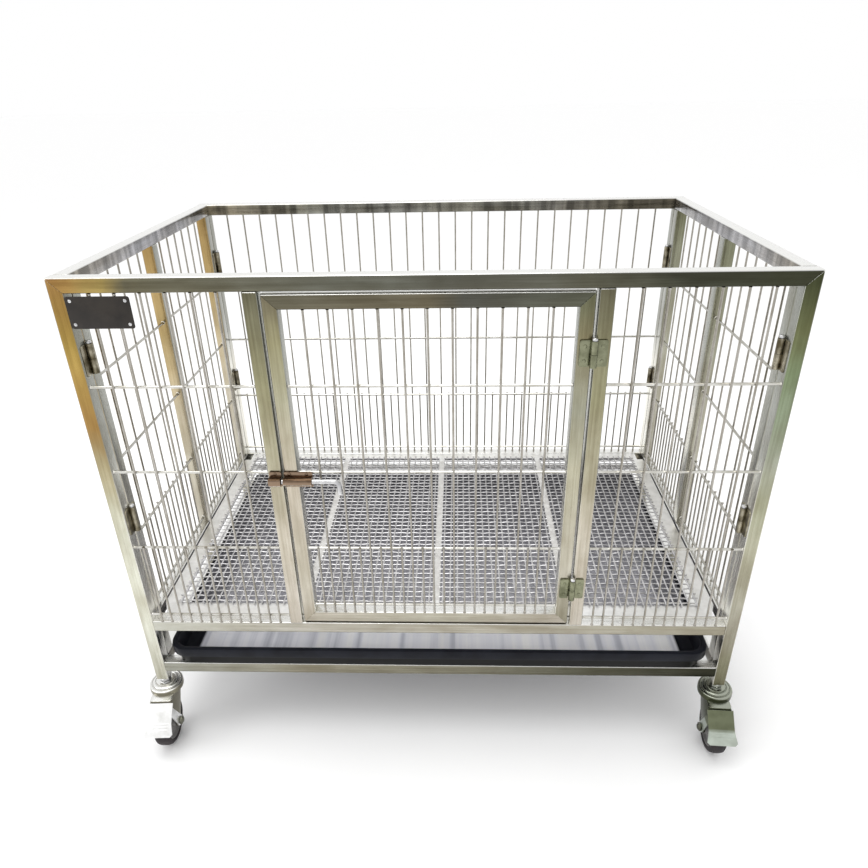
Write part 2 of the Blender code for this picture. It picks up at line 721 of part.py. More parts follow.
def tray():
    """A moulded tray with drafted walls and a rim that turns down. Loops run round the skin.
    Its front wall stands on the front edge of the rail, and the rim overhangs it as a grip."""
    x1 = X_IN - TRAY_SIDE_CLEARANCE
    y0, y1 = -DEPTH / 2 - TRAY_OVERHANG, DEPTH / 2 - TRAY_REAR
    bottom = TRAY_RAIL_TOP + SEAT_GAP
    top = bottom + TRAY_HEIGHT
    under_rim = top - TRAY_WALL
    foot = TRAY_LIP_WIDTH + TRAY_DRAFT
    skin = [
        (foot, bottom),
        (TRAY_LIP_WIDTH, under_rim),
        (TRAY_WALL, under_rim),
        (TRAY_WALL, top - TRAY_LIP_HEIGHT),
        (0, top - TRAY_LIP_HEIGHT),
        (0, top),
        (TRAY_LIP_WIDTH + TRAY_WALL, top),
        (foot + TRAY_WALL, bottom + TRAY_WALL),
    ]
    shape = bmesh.new()
    loops = []
    for inset, z in skin:
        outline = rounded_rectangle(
            -x1 + inset, x1 - inset, y0 + inset, y1 - inset, max(TRAY_ROUND - inset / 2, TRAY_WALL), 3
        )
        loops.append([shape.verts.new((x, y, z)) for x, y in outline])
    for lower, upper in zip(loops, loops[1:]):
        for i in range(len(lower)):
            j = (i + 1) % len(lower)
            shape.faces.new((lower[i], lower[j], upper[j], upper[i]))
    shape.faces.new(loops[0])
    shape.faces.new(loops[-1])
    kept(from_bmesh("tray", shape), TRAY_PLASTIC, (0, 0, bottom))


def wheel_mesh():
    tread = AXLE_HEIGHT / math.cos(math.pi / WHEEL_STEPS)
    half, hub = WHEEL_WIDTH / 2, HUB_WIDTH / 2
    bore = AXLE_RADIUS + SEAT_GAP
    upper = [
        (bore, hub),
        (HUB_RADIUS, hub),
        (HUB_RADIUS + hub - half, half - LEG_THICKNESS / 2),
        (tread - half / 3, half),
        (tread, half / 2),
    ]
    profile = upper + [(radius, -height) for radius, height in reversed(upper)]
    wheel = turned("wheel", profile, WHEEL_STEPS)
    facet = Matrix.Rotation(math.pi / WHEEL_STEPS + math.pi / 2, 4, "Z")
    return laid(wheel, axes((1, 0, 0), (0, 0, 1)) @ facet)


def fork_mesh():
    """The swivel head, crown, two legs and the axle with its dome nuts, about the swivel axis."""
    inside = HUB_WIDTH / 2 + SEAT_GAP
    outside = inside + LEG_THICKNESS
    head_bottom = HEAD_TOP - HEAD_HEIGHT
    groove = HEAD_HEIGHT / 4
    profile = [
        (STEM_RADIUS + SEAT_GAP, head_bottom),
        (HEAD_RADIUS - groove, head_bottom),
        (HEAD_RADIUS, head_bottom + groove),
        (HEAD_RADIUS, head_bottom + 2 * groove),
        (HEAD_RADIUS - groove, HEAD_TOP - groove),
        (HEAD_RADIUS - 2 * groove, HEAD_TOP),
        (STEM_RADIUS + SEAT_GAP, HEAD_TOP),
    ]
    head = turned("fork", profile, 16)
    crown_low = head_bottom - CROWN_THICKNESS
    rear_edge = TRAIL + LEG_END_RADIUS
    outlines = [rectangle(-HEAD_RADIUS * 0.8, rear_edge, -outside, outside)]
    outlines.append(circle(STEM_RADIUS + SEAT_GAP, 12))
    crown = slab("crown", outlines, CROWN_THICKNESS + SEAT_GAP)
    crown = laid(crown, Matrix.Translation((0, 0, crown_low + (CROWN_THICKNESS + SEAT_GAP) / 2)))
    end = arc((TRAIL, AXLE_HEIGHT), LEG_END_RADIUS, 0, -math.pi, 5)
    leg_top = crown_low + CROWN_THICKNESS / 2
    side = [(-HEAD_RADIUS / 2, leg_top), (rear_edge, leg_top), *end]
    legs = [
        laid(
            slab("leg", [side], LEG_THICKNESS),
            axes((1, 0, 0), (0, 0, 1), (0, v * (inside + LEG_THICKNESS / 2), 0)),
        )
        for v in (-1, 1)
    ]
    nut = outside + PEDAL_THICKNESS + 2 * SEAT_GAP
    tip = nut + NUT_HEIGHT
    half = [(AXLE_RADIUS, nut), (NUT_RADIUS, nut), (NUT_RADIUS * 0.9, nut + NUT_HEIGHT / 2), (0, tip)]
    axle = turned("axle", [(r, -v) for r, v in reversed(half)] + half, 8)
    axle = laid(axle, axes((1, 0, 0), (0, 0, 1), (TRAIL, 0, AXLE_HEIGHT)))
    return fused(head, crown, *legs, axle)


def pedal_mesh():
    """Two ears on the axle, outside the legs, and a flared tread over the front of the wheel."""
    inside = HUB_WIDTH / 2 + LEG_THICKNESS + 2 * SEAT_GAP
    outside = inside + PEDAL_THICKNESS
    top, tip = Vector(PEDAL_TOP), Vector(PEDAL_TIP)
    down = (tip - top).normalized()
    ear_end = top + down * PEDAL_EAR_RADIUS * 1.6
    start = math.atan2(top.y, top.x) + math.pi / 2
    end = math.atan2(ear_end.y, ear_end.x) + 3 * math.pi / 2
    ring = arc((0, 0), PEDAL_EAR_RADIUS, start, end, 7)
    ear = [*ring, tuple(ear_end), tuple(top)]
    bore = circle((AXLE_RADIUS + SEAT_GAP) / math.cos(math.pi / 8), 8)
    ears = [
        laid(
            slab("ear", [ear, bore], PEDAL_THICKNESS),
            axes((1, 0, 0), (0, 0, 1), (0, v * (inside + PEDAL_THICKNESS / 2), 0)),
        )
        for v in (-1, 1)
    ]
    length = (tip - top).length
    flare = outside + PEDAL_FLARE
    tread_outline = [(0, -outside), (length, -flare), (length, flare), (0, outside)]
    tread = slab("pedal", [tread_outline], PEDAL_THICKNESS)
    across = Vector((0, 1, 0))
    tread = laid(tread, axes((down.x, 0, down.y), across, (top.x, 0, top.y)))
    return fused(tread, *ears)


def stem_mesh():
    """The stem in the swivel head, with the collar that the corner post stands on."""
    bottom = HEAD_TOP - HEAD_HEIGHT - CROWN_THICKNESS
    collar = HEAD_TOP + SEAT_GAP
    top = POST_FOOT - SEAT_GAP
    profile = [(0, bottom), (STEM_RADIUS, bottom), (STEM_RADIUS, collar)]
    profile += [(COLLAR_RADIUS, collar), (COLLAR_RADIUS, top), (0, top)]
    return turned("stem", profile, 12)


def casters():
    shapes = {"stem": stem_mesh(), "fork": fork_mesh(), "wheel": wheel_mesh(), "pedal": pedal_mesh()}
    finishes = {"stem": ZINC, "fork": ZINC, "wheel": TYRE_BLACK, "pedal": ZINC}
    for rear, end in ((-1, "front"), (1, "rear")):
        for side, word in ((-1, "left"), (1, "right")):
            corner = f"{end}_{word}"
            place = (side * (WIDTH - TUBE) / 2, rear * (DEPTH - TUBE) / 2, 0)
            heading = math.atan2(rear * math.cos(HEADING), side * math.sin(HEADING))
            swivel = joint_empty(f"caster_{corner}", place)
            swivel.rotation_euler = (0, 0, heading)
            for kind, shape in shapes.items():
                made = new_object(f"caster_{kind}_{corner}", shape.data.copy())
                kept(made, finishes[kind])
                made.parent = swivel
                if kind in ("wheel", "pedal"):
                    made.location = (TRAIL, 0, AXLE_HEIGHT)
    for shape in shapes.values():
        bpy.data.objects.remove(shape)


clear_scene()
PARTS = bpy.data.collections.new("folding_pet_cage")
bpy.context.scene.collection.children.link(PARTS)
front_panel()
rear_panel()
side_panel(-1, "left")
side_panel(1, "right")
corner_pins()
door()
floor_grid()
tray()
casters()
bpy.context.view_layer.update()
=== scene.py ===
# %% [markdown]
# # A folding pet cage
#
# The cage is an open pen of square stainless tube and welded wire, on four braked casters. The solid
# model already says where every piece is and how it moves. This script gives the pieces their looks:
# rounded tubes, wires with welds, a woven floor, turned and stamped fittings, and steel with the
# streaks of the real one, whose tints are painted reflections of a room.

# %% The imported model
import json
import math

import bpy
import numpy as np
from mathutils import Matrix, Vector

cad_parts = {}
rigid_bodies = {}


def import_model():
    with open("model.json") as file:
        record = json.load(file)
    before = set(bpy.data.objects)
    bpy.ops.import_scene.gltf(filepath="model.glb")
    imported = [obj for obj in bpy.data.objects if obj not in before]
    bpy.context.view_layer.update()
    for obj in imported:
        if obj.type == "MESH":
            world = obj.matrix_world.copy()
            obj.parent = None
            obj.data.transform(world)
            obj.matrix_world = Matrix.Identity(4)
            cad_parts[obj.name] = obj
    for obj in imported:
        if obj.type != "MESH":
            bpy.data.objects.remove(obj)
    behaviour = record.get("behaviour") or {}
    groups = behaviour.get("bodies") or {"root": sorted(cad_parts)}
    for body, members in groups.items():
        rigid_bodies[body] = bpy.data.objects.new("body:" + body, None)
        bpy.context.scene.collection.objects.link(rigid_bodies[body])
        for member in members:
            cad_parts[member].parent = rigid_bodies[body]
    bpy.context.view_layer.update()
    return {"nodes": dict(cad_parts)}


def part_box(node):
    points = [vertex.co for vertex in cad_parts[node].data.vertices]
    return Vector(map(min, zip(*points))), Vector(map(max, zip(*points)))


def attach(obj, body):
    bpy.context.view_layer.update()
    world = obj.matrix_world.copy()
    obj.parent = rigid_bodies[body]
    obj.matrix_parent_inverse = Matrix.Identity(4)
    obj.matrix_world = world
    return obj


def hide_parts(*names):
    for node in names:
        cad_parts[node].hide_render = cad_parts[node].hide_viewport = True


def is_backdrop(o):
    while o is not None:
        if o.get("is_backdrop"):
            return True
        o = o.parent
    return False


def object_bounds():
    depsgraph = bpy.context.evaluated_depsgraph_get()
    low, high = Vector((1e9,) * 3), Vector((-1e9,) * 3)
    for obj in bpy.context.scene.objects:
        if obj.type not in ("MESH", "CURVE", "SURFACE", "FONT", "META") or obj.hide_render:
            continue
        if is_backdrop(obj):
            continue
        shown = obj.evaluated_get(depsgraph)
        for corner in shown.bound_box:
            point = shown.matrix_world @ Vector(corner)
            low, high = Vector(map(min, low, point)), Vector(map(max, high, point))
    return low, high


for old in list(bpy.data.objects):
    bpy.data.objects.remove(old)
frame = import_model()

# %% [markdown]
# ## The sizes that everything shares
#
# A welded cage repeats a few sizes: the tube, the two wires and the corners of the frame. The tube and
# the frame are measured from the solid model here, so that each new piece sits exactly where its solid
# is. The wires and the gap that keeps two solids apart are written as numbers.

# %% Sizes measured from the model
top_low, top_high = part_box("front_top_rail")
tube = top_high.z - top_low.z
half_width = top_high.x
half_depth = -top_low.y
height = top_high.z
x_in = half_width - tube
y_in = half_depth - tube
post_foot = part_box("front_post_left")[0].z
tray_rail_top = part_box("front_tray_rail")[1].z
floor_rail_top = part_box("front_floor_rail")[1].z
gap = 0.0003
upright_radius = 0.0015
row_radius = 0.0020
upright_pitch = 0.0305
side_pitch = 0.0330
row_pitch = 0.125
first_row = 0.012
both_sides = ((-1, "left"), (1, "right"))
both_ends = ((-1, "front"), (1, "rear"))
print("Tubes are", round(1000 * tube, 1), "mm square, and the frame is", round(2000 * half_width), "mm wide")

# %% [markdown]
# ## How shapes are made
#
# Nearly every piece of a cage like this is one outline carried along a line: a tube, a wire, a pressed
# plate, or a turned part whose outline goes round an axis. So a shape here is a stack of rings with the
# same number of points. The skin between the rings is one grid, and the two end rings close it.

# %% Skins between rings
def skins(rings, wrapped=False):
    """rings[n, k, s] is point s of ring k of skin n. Quads join ring k to ring k + 1, and caps close the
    ends. A wrapped skin joins its last ring to its first instead, like a ring or a sleeve."""
    rings = np.asarray(rings, float)
    index = np.arange(rings[..., 0].size).reshape(rings.shape[:3])
    near, far = (index, np.roll(index, -1, 1)) if wrapped else (index[:, :-1], index[:, 1:])
    quads = np.stack([near, np.roll(near, -1, 2), np.roll(far, -1, 2), far], -1).reshape(-1, 4)
    faces = [quads] if wrapped else [quads, index[:, 0, ::-1], index[:, -1]]
    return rings.reshape(-1, 3), faces


def stacked(outlines_and_levels, wrapped=False):
    """One skin over flat outlines, each lying at its own height."""
    rings = [np.column_stack([outline, np.full(len(outline), z)]) for outline, z in outlines_and_levels]
    return skins([rings], wrapped)


print("A shape is a stack of rings with a skin")

# %% [markdown]
# ## Joining and placing shapes
#
# A fitting is often several simple shapes that are welded together, and it is drawn flat before it is
# put on its tube. Three directions say how it turns: where its X, Y and Z axes point when it is placed.

# %% Joining and placing
as_made = ((1, 0, 0), (0, 1, 0), (0, 0, 1))
facing_front = ((1, 0, 0), (0, 0, 1), (0, -1, 0))


def joined(*shapes):
    """Several shapes as one: the indices of each are moved up by the points that come before it."""
    points, faces, first = [], [], 0
    for shape_points, shape_faces in shapes:
        points.append(shape_points)
        faces += [face + first for face in shape_faces]
        first += len(shape_points)
    return np.concatenate(points), faces


def moved(shape, across, up, out, place=(0, 0, 0)):
    """point = place + x across + y up + z out. A mirrored shape has its faces turned over."""
    basis = np.array([across, up, out], float)
    points, faces = shape
    if np.linalg.det(basis) < 0:
        faces = [face[:, ::-1] for face in faces]
    return points @ basis + np.asarray(place, float), faces


print("Shapes can be joined, and placed by", len(as_made), "directions")

# %% [markdown]
# ## Outlines and plates
#
# A pressed or cut piece starts as a flat outline of arcs and straight edges. Its sheared edges are never
# sharp, and a sharp edge would catch no light. So a plate is a stack of its outline whose first and last
# rings are drawn in along a quarter circle, which costs fewer faces than a bevel.

# %% Outlines and plates
def arc(centre, radius, start, end, steps):
    """Points centre + radius (cos a, sin a), with a from start to end in degrees."""
    angles = np.radians(np.linspace(start, end, steps + 1))[:, None]
    return np.asarray(centre, float) + radius * np.concatenate([np.cos(angles), np.sin(angles)], 1)


def rounded(half_x, half_y, radius, steps=4):
    """A rectangle about the origin, with quarter circles of the radius for corners."""
    x, y = half_x - radius, half_y - radius
    centres = enumerate(((x, y), (-x, y), (-x, -y), (x, -y)))
    return np.concatenate([arc(centre, radius, 90 * i, 90 * i + 90, steps) for i, centre in centres])


def inset(outline, distance):
    """Each point moves inwards along the mean of the normals of the two edges that meet there."""
    edge = np.roll(outline, -1, 0) - outline
    normal = np.stack([edge[:, 1], -edge[:, 0]], 1)
    normal /= np.maximum(np.linalg.norm(normal, axis=1, keepdims=True), 1e-12)
    both = normal + np.roll(normal, 1, 0)
    both /= np.maximum((both**2).sum(1, keepdims=True) / 2, 0.5)
    return outline - distance * both


def plate(outline, thickness, edge=0.0004):
    """An outline in XY made as thick as given from z = 0 up, with quarter-round edges."""
    outline = np.asarray(outline, float)
    turns = np.radians([0, 45, 90])
    profile = [(edge * (1 - math.sin(a)), edge * (1 - math.cos(a))) for a in turns]
    profile += [(distance, thickness - z) for distance, z in reversed(profile)]
    return stacked([(inset(outline, distance), z) for distance, z in profile])


print("Plates have round edges")

# %% [markdown]
# ## Turned parts and round bars
#
# Pins, rivets, wheels and ball races are round. Each is one profile of radius and height carried round
# an axis. The profile's corners are cut by small arcs first, so that a worn edge gleams as a real one.
# Wires and the bolt are round too, and are circles carried along their middle lines.

# %% Turned parts and round bars
def turned(profile, steps=48, wrapped=False):
    """A profile of (radius, height) points carried round the Z axis."""
    angles = np.linspace(0, 2 * math.pi, steps, endpoint=False)
    profile = np.asarray(profile, float)
    radius, level = profile[:, :1], profile[:, 1:]
    rings = np.stack([radius * np.cos(angles), radius * np.sin(angles), level + 0 * angles], -1)
    return skins([rings], wrapped)


def softened(profile, edge, wrapped=False):
    """Each corner of a profile is cut by a small arc that starts an edge's length before it."""
    profile = np.asarray(profile, float)
    before, after = np.roll(profile, 1, 0) - profile, np.roll(profile, -1, 0) - profile
    points = []
    for corner, back, on in zip(profile, before, after):
        reach = min(edge, 0.45 * np.linalg.norm(back), 0.45 * np.linalg.norm(on))
        a = corner + back / np.linalg.norm(back) * reach
        b = corner + on / np.linalg.norm(on) * reach
        points += [a, (a + b + 2 * corner) / 4, b]
    return np.array(points) if wrapped else np.array([profile[0], *points[3:-3], profile[-1]])


def mirrored(profile, *middle):
    """A profile's lower half and its middle, followed by the same half with its heights turned over."""
    return [*profile, *middle, *[(radius, -z) for radius, z in reversed(profile)]]


def round_bars(centres, girth, u, v, sides):
    """Bars of rings about centres[n, k]: point = centre + girth (cos a u + sin a v)."""
    angles = np.linspace(0, 2 * math.pi, sides, endpoint=False)[:, None]
    circle = np.cos(angles) * u[..., None, :] + np.sin(angles) * v[..., None, :]
    return skins(centres[..., None, :] + circle * girth[:, None, None])


print("Turned parts have soft corners")

# %% [markdown]
# ## Finishes as rows of nodes
#
# A finish is one Principled shader with a few nodes before it. The class below makes and joins them in
# plain words, so that each finish of the cage reads as a recipe: noise, a range, a row of colours. The
# patterns are placed by Object coordinates, in metres, so they stay on a piece when it moves.

# %% The Finish class
def linear(colour):
    """An 8-bit screen colour as the light it stands for: ((c / 255 + 0.055) / 1.055) ** 2.4."""
    share = np.asarray(colour, float) / 255
    light = np.where(share > 0.04045, ((share + 0.055) / 1.055) ** 2.4, share / 12.92)
    return (*light.tolist(), 1.0)


class Finish:
    """A material that starts with a Principled shader, and gets its nodes one by one."""

    def __init__(self, name, metallic, roughness, specular=0.5):
        self.material = bpy.data.materials.new(name)
        self.material.use_nodes = True
        self.tree = self.material.node_tree
        self.shader = self.tree.nodes["Principled BSDF"]
        self.shader.inputs["Metallic"].default_value = metallic
        self.shader.inputs["Roughness"].default_value = roughness
        self.shader.inputs["Specular IOR Level"].default_value = specular
        self.place = self.add("ShaderNodeTexCoord").outputs["Object"]

    def add(self, kind, **settings):
        """A new node. A setting is either a property of the node or the value of one of its inputs."""
        node = self.tree.nodes.new(kind)
        for name, value in settings.items():
            if hasattr(node, name):
                setattr(node, name, value)
            else:
                node.inputs[name.replace("_", " ")].default_value = value
        return node

    def link(self, source, target):
        self.tree.links.new(source, target)

    def maths(self, operation, *values):
        """One or two sockets put through an operation that goes by Blender's own name."""
        node = self.add("ShaderNodeMath", operation=operation)
        for value, target in zip(values, node.inputs):
            self.link(value, target)
        return node.outputs[0]

    def parts(self, source):
        """The x, y and z of a place or a direction."""
        node = self.add("ShaderNodeSeparateXYZ")
        self.link(source, node.inputs[0])
        return node.outputs

    def facing(self):
        """The x, y and z of the direction in which a face looks."""
        return self.parts(self.add("ShaderNodeNewGeometry").outputs["Normal"])

    def noise(self, scale, stretch=(1, 1, 1), detail=3.0):
        """Noise that repeats about once in 1 / (scale x stretch) metres along each axis."""
        mapping = self.add("ShaderNodeMapping", Scale=stretch)
        self.link(self.place, mapping.inputs["Vector"])
        noise = self.add("ShaderNodeTexNoise", Scale=scale, Detail=detail)
        self.link(mapping.outputs["Vector"], noise.inputs["Vector"])
        return noise.outputs["Fac"]

    def ranged(self, source, low, high, start=0.3, end=0.7):
        """start to end becomes low to high."""
        node = self.add("ShaderNodeMapRange")
        for name, value in (("From Min", start), ("From Max", end), ("To Min", low), ("To Max", high)):
            node.inputs[name].default_value = value
        self.link(source, node.inputs["Value"])
        return node.outputs["Result"]

    def ramp(self, source, *colours):
        """A row of (place, screen colour) over 0 to 1, evenly blended between the places."""
        node = self.add("ShaderNodeValToRGB")
        stops = node.color_ramp.elements
        while len(stops) < len(colours):
            stops.new(0.5)
        for stop, (place, colour) in zip(stops, colours):
            stop.position = place
            stop.color = linear(colour)
        self.link(source, node.inputs["Fac"])
        return node.outputs["Color"]

    def clouds(self, scale, dark, light):
        """Two colours in soft clouds of about 1 / scale metres."""
        return self.ramp(self.ranged(self.noise(scale), 0, 1, 0.35, 0.65), (0, dark), (1, light))

    def mixed(self, kind, factor, a, b):
        """Two colours blended in a given way. factor, a and b are sockets or plain values."""
        node = self.add("ShaderNodeMix", data_type="RGBA", blend_type=kind)
        for value, target in ((factor, node.inputs[0]), (a, node.inputs[6]), (b, node.inputs[7])):
            if isinstance(value, bpy.types.NodeSocket):
                self.link(value, target)
            else:
                target.default_value = value
        return node.outputs[2]

    def blend(self, share, a, b):
        """a where the share is 0, and b where it is 1."""
        return self.mixed("MIX", share, a, b)

    def times(self, a, b):
        """Two colours multiplied: b shades a."""
        return self.mixed("MULTIPLY", 1.0, a, b)

    def within(self, half_x, half_y, edge):
        """1 inside a rectangle about the middle of the floor, 0 outside it, blended over the edge:
        the share is that of the nearer side, (half - |place|) / edge."""
        places, shares = self.parts(self.place), []
        for axis, half in ((0, half_x), (1, half_y)):
            size = self.maths("ABSOLUTE", places[axis])
            shares.append(self.ranged(size, 1, 0, half - edge / 2, half + edge / 2))
        return self.maths("MINIMUM", *shares)

    def wear(self, colour):
        self.link(colour, self.shader.inputs["Base Color"])

    def roughen(self, roughness):
        self.link(roughness, self.shader.inputs["Roughness"])

    def bump(self, source, distance, strength=1.0):
        node = self.add("ShaderNodeBump", Strength=strength, Distance=distance)
        self.link(source, node.inputs["Height"])
        self.link(node.outputs["Normal"], self.shader.inputs["Normal"])


print("A finish is a recipe of nodes")

# %% [markdown]
# ## Pieces
#
# A finished shape becomes one object. It rides on the body that carries its solid, wears a finish, and
# stands for that solid in the picture. Edges that turn by more than 35 degrees stay sharp to the light.

# %% From a shape to a piece
sharp_from = math.radians(35)


def piece(name, shape, material, body, stands_for):
    """A shape as an object that wears a finish, rides on a body and stands for a solid of the model."""
    points, faces = shape
    mesh = bpy.data.meshes.new(name)
    mesh.from_pydata(points.tolist(), [], [corners for face in faces for corners in face.tolist()])
    mesh.materials.append(material)
    mesh.shade_smooth()
    mesh.set_sharp_from_angle(angle=sharp_from)
    made = bpy.data.objects.new(name, mesh)
    bpy.context.scene.collection.objects.link(made)
    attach(made, body)
    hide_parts(stands_for)


print("Pieces keep edges sharp from", round(math.degrees(sharp_from)), "degrees on")

# %% [markdown]
# ## Camera
#
# The photo was taken from just above the front of the cage, with the camera tipped down. This camera
# has the place, tilt and field of view that put the corners of the solid model on the photo's.

# %% Camera
camera_place = (0.0374, -1.0553, 0.9575)
focal_length = 28.34
yaw, pitch, roll = math.radians(-2.3897), math.radians(27.2983), math.radians(-1.2404)
forward = Vector((math.sin(yaw) * math.cos(pitch), math.cos(yaw) * math.cos(pitch), -math.sin(pitch)))
level = Vector((math.cos(yaw), -math.sin(yaw), 0))
over = level.cross(forward)
right = math.cos(roll) * level + math.sin(roll) * over
upward = -math.sin(roll) * level + math.cos(roll) * over
lens = bpy.data.cameras.new("camera")
lens.sensor_width = 36
lens.lens = focal_length
camera = bpy.data.objects.new("camera", lens)
turn = Matrix((right, upward, -forward)).transposed().to_4x4()
camera.matrix_world = Matrix.Translation(camera_place) @ turn
bpy.context.scene.collection.objects.link(camera)
bpy.context.scene.camera = camera
print("The camera stands at", [round(v, 3) for v in camera.matrix_world.translation])

# %% [markdown]
# ## Floor and light
#
# The cage stands in an even white studio, and its polished steel mirrors that white all round. A wide
# ceiling lamp and a smaller one at the left give the soft shadow under the cage and keep the tubes round.

# %% Floor, world and lights
floor_finish = Finish("studio floor", 0.0, 0.9)
floor_finish.wear(floor_finish.ramp(floor_finish.noise(3), (0, (254, 254, 254)), (1, (255, 255, 255))))
floor_reach = 30.0
floor_corners = [(floor_reach * x, floor_reach * y, 0) for x, y in ((-1, -1), (1, -1), (1, 1), (-1, 1))]
floor_sheet = bpy.data.meshes.new("studio_floor")
floor_sheet.from_pydata(floor_corners, [], [(0, 1, 2, 3)])
floor_sheet.materials.append(floor_finish.material)
studio_floor = bpy.data.objects.new("studio_floor", floor_sheet)
bpy.context.scene.collection.objects.link(studio_floor)
studio_floor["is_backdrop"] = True

world = bpy.data.worlds.new("studio")
world.use_nodes = True
world.node_tree.nodes["Background"].inputs["Color"].default_value = (1, 1, 1, 1)
bpy.context.scene.world = world
bpy.context.scene.view_settings.view_transform = "Standard"


def area_light(name, place, target, size, power):
    """A square lamp that faces a target."""
    data = bpy.data.lights.new(name, "AREA")
    data.size = size
    data.energy = power
    lamp = bpy.data.objects.new(name, data)
    lamp.location = place
    lamp.rotation_euler = (Vector(target) - Vector(place)).to_track_quat("-Z", "Y").to_euler()
    bpy.context.scene.collection.objects.link(lamp)


area_light("ceiling", (-0.4, -0.3, 2.6), (0, 0, 0.2), 1.6, 24)
area_light("left window", (-2.4, -1.0, 1.5), (0, 0, 0.4), 1.2, 12)
print("Floor, world and two lamps are made")

# %% [markdown]
# ## Steel with painted reflections
#
# The real tubes are polished stainless steel. Each face mirrors another part of a room, so one tube runs
# from gold to grey and the next from olive to beige, with fine streaks along the tube from the polishing.
# A picture of that room would slide as the view turns, so each finish is a row of colours along its tube,
# a painted reflection made uneven by noise that is stretched the same way. Faces that look up are paler
# with a painted reflection of the ceiling.

# %% Polished tube
# Painted reflections for the faces of an upright tube that look to the left or right, and for faces that look
# up, which mirror the pale ceiling.
post_side_reflections = (
    (0.13, (226, 225, 218)), (0.44, (224, 223, 215)), (0.52, (160, 161, 155)), (0.76, (154, 156, 150)),
)
ceiling_reflection = (236, 236, 233)


def stretched(axis, along, across=1.0):
    """Scales of a noise for x, y and z: one along the tube, and another across it."""
    return [along if place == axis else across for place in range(3)]


def stainless(name, axis, stops, bars=None):
    """Polished tube whose colours are painted reflections. stops are (metres along the tube's axis, screen
    colour). The faces of an upright tube that look to the left or right have a painted reflection of their
    own, and faces that look up have a painted reflection of the ceiling. bars is the darkest shade of the
    bars that a tube mirrors across its length."""
    finish = Finish(name, 1.0, 0.24)
    first, last = stops[0][0], stops[-1][0]
    front, sides = ([((at - first) / (last - first), c) for at, c in row] for row in (stops, post_side_reflections))
    wander = finish.ranged(finish.noise(14), -0.03, 0.03)
    share = finish.maths("ADD", finish.ranged(finish.parts(finish.place)[axis], 0, 1, first, last), wander)
    streaks = finish.noise(420, stretched(axis, 0.02), 4)
    streak_share = finish.ranged(streaks, 0, 1, 0.32, 0.68)
    shade = finish.ramp(streak_share, (0, (236, 234, 230)), (1, (266, 266, 266)))
    blotch_share = finish.ranged(finish.noise(38, stretched(axis, 0.4)), 0, 1, 0.35, 0.65)
    cloud = finish.ramp(blotch_share, (0, (236, 233, 227)), (1, (266, 266, 266)))
    colour = finish.times(finish.times(finish.ramp(share, *front), shade), cloud)
    if bars:
        # Painted reflection: bars of light and dark across the tube.
        across = finish.ranged(finish.noise(62, stretched(axis, 1.0, 0.08), 2), 0, 1, 0.38, 0.62)
        bar_reflections = finish.ramp(across, (0, bars), (0.5, (240, 240, 240)), (1, (284, 284, 284)))
        colour = finish.times(colour, bar_reflections)
    looks = finish.facing()
    # Painted reflection: faces of an upright tube that look to the left or right take the side colours.
    if axis == 2:
        sideways = finish.ranged(finish.maths("ABSOLUTE", looks[0]), 0, 1, 0.35, 0.9)
        colour = finish.blend(sideways, colour, finish.times(finish.ramp(share, *sides), cloud))
    # Painted reflection: faces that look up blend to the pale ceiling colour.
    finish.wear(finish.blend(finish.ranged(looks[2], 0, 1, 0.35, 0.9), colour, linear(ceiling_reflection)))
    finish.roughen(finish.ranged(streaks, 0.17, 0.33))
    finish.bump(streaks, 0.00002, 0.5)
    return finish.material


print("Polished tube has streaks, blotches and a pale top")

# %% [markdown]
# ## Square tube
#
# The tube's corners are round and its ends are ground flush. Where two tubes meet, the ground weld shows
# as a fine line. Each tube is a rounded square carried along its length, and dips a little at each end
# for that line. The corners of a frame are cut at 45 degrees by slanting the end rings.

# %% Square tube
tube_round = 0.0022
seam_depth = 0.0005


def square_tube(low, high, mitres=()):
    """A rounded square carried along the longest side of the box from low to high. A mitre (end, axis,
    face) slants an end at 45 degrees: its points move inwards by their distance from the face."""
    low, high = np.asarray(low, float), np.asarray(high, float)
    centre, size = (low + high) / 2, high - low
    t = int(np.argmax(size))
    u, v = (t + 1) % 3, (t + 2) % 3
    radius = min(tube_round, 0.22 * size[u], 0.22 * size[v])
    full = rounded(size[u] / 2, size[v] / 2, radius)
    dipped = rounded(size[u] / 2 - seam_depth, size[v] / 2 - seam_depth, 0.8 * radius)
    rings = []
    ends = ((dipped, 0, 0), (full, 0, seam_depth), (full, 1, seam_depth), (dipped, 1, 0))
    for outline, end, inward in ends:
        ring = np.empty((len(outline), 3))
        ring[:, u] = centre[u] + outline[:, 0]
        ring[:, v] = centre[v] + outline[:, 1]
        ring[:, t] = (low[t] + inward) if end == 0 else (high[t] - inward)
        for mitred_end, axis, face in mitres:
            if mitred_end == end:
                ring[:, t] += (1 - 2 * end) * np.abs(ring[:, axis] - face)
        rings.append(ring)
    return skins([rings])


print("The tube's corners have a radius of", round(1000 * tube_round, 1), "mm")

# %% [markdown]
# ## Plated steel
#
# Hinges, pins and bolts are plated. Plating is duller than polished tube and has soft clouds, so two
# close colours and a fine uneven surface are enough.

# %% Plated steel
def plain_metal(name, light, dark, roughness):
    """Plated or rolled steel: two close colours in soft clouds, and a fine uneven surface."""
    finish = Finish(name, 1.0, roughness)
    finish.wear(finish.clouds(70, dark, light))
    finish.roughen(finish.ranged(finish.noise(70), roughness + 0.07, roughness - 0.05))
    finish.bump(finish.noise(300), 0.00003)
    return finish.material


zinc = plain_metal("bright zinc", (214, 214, 214), (178, 178, 180), 0.26)
print("Zinc is ready for the pins")

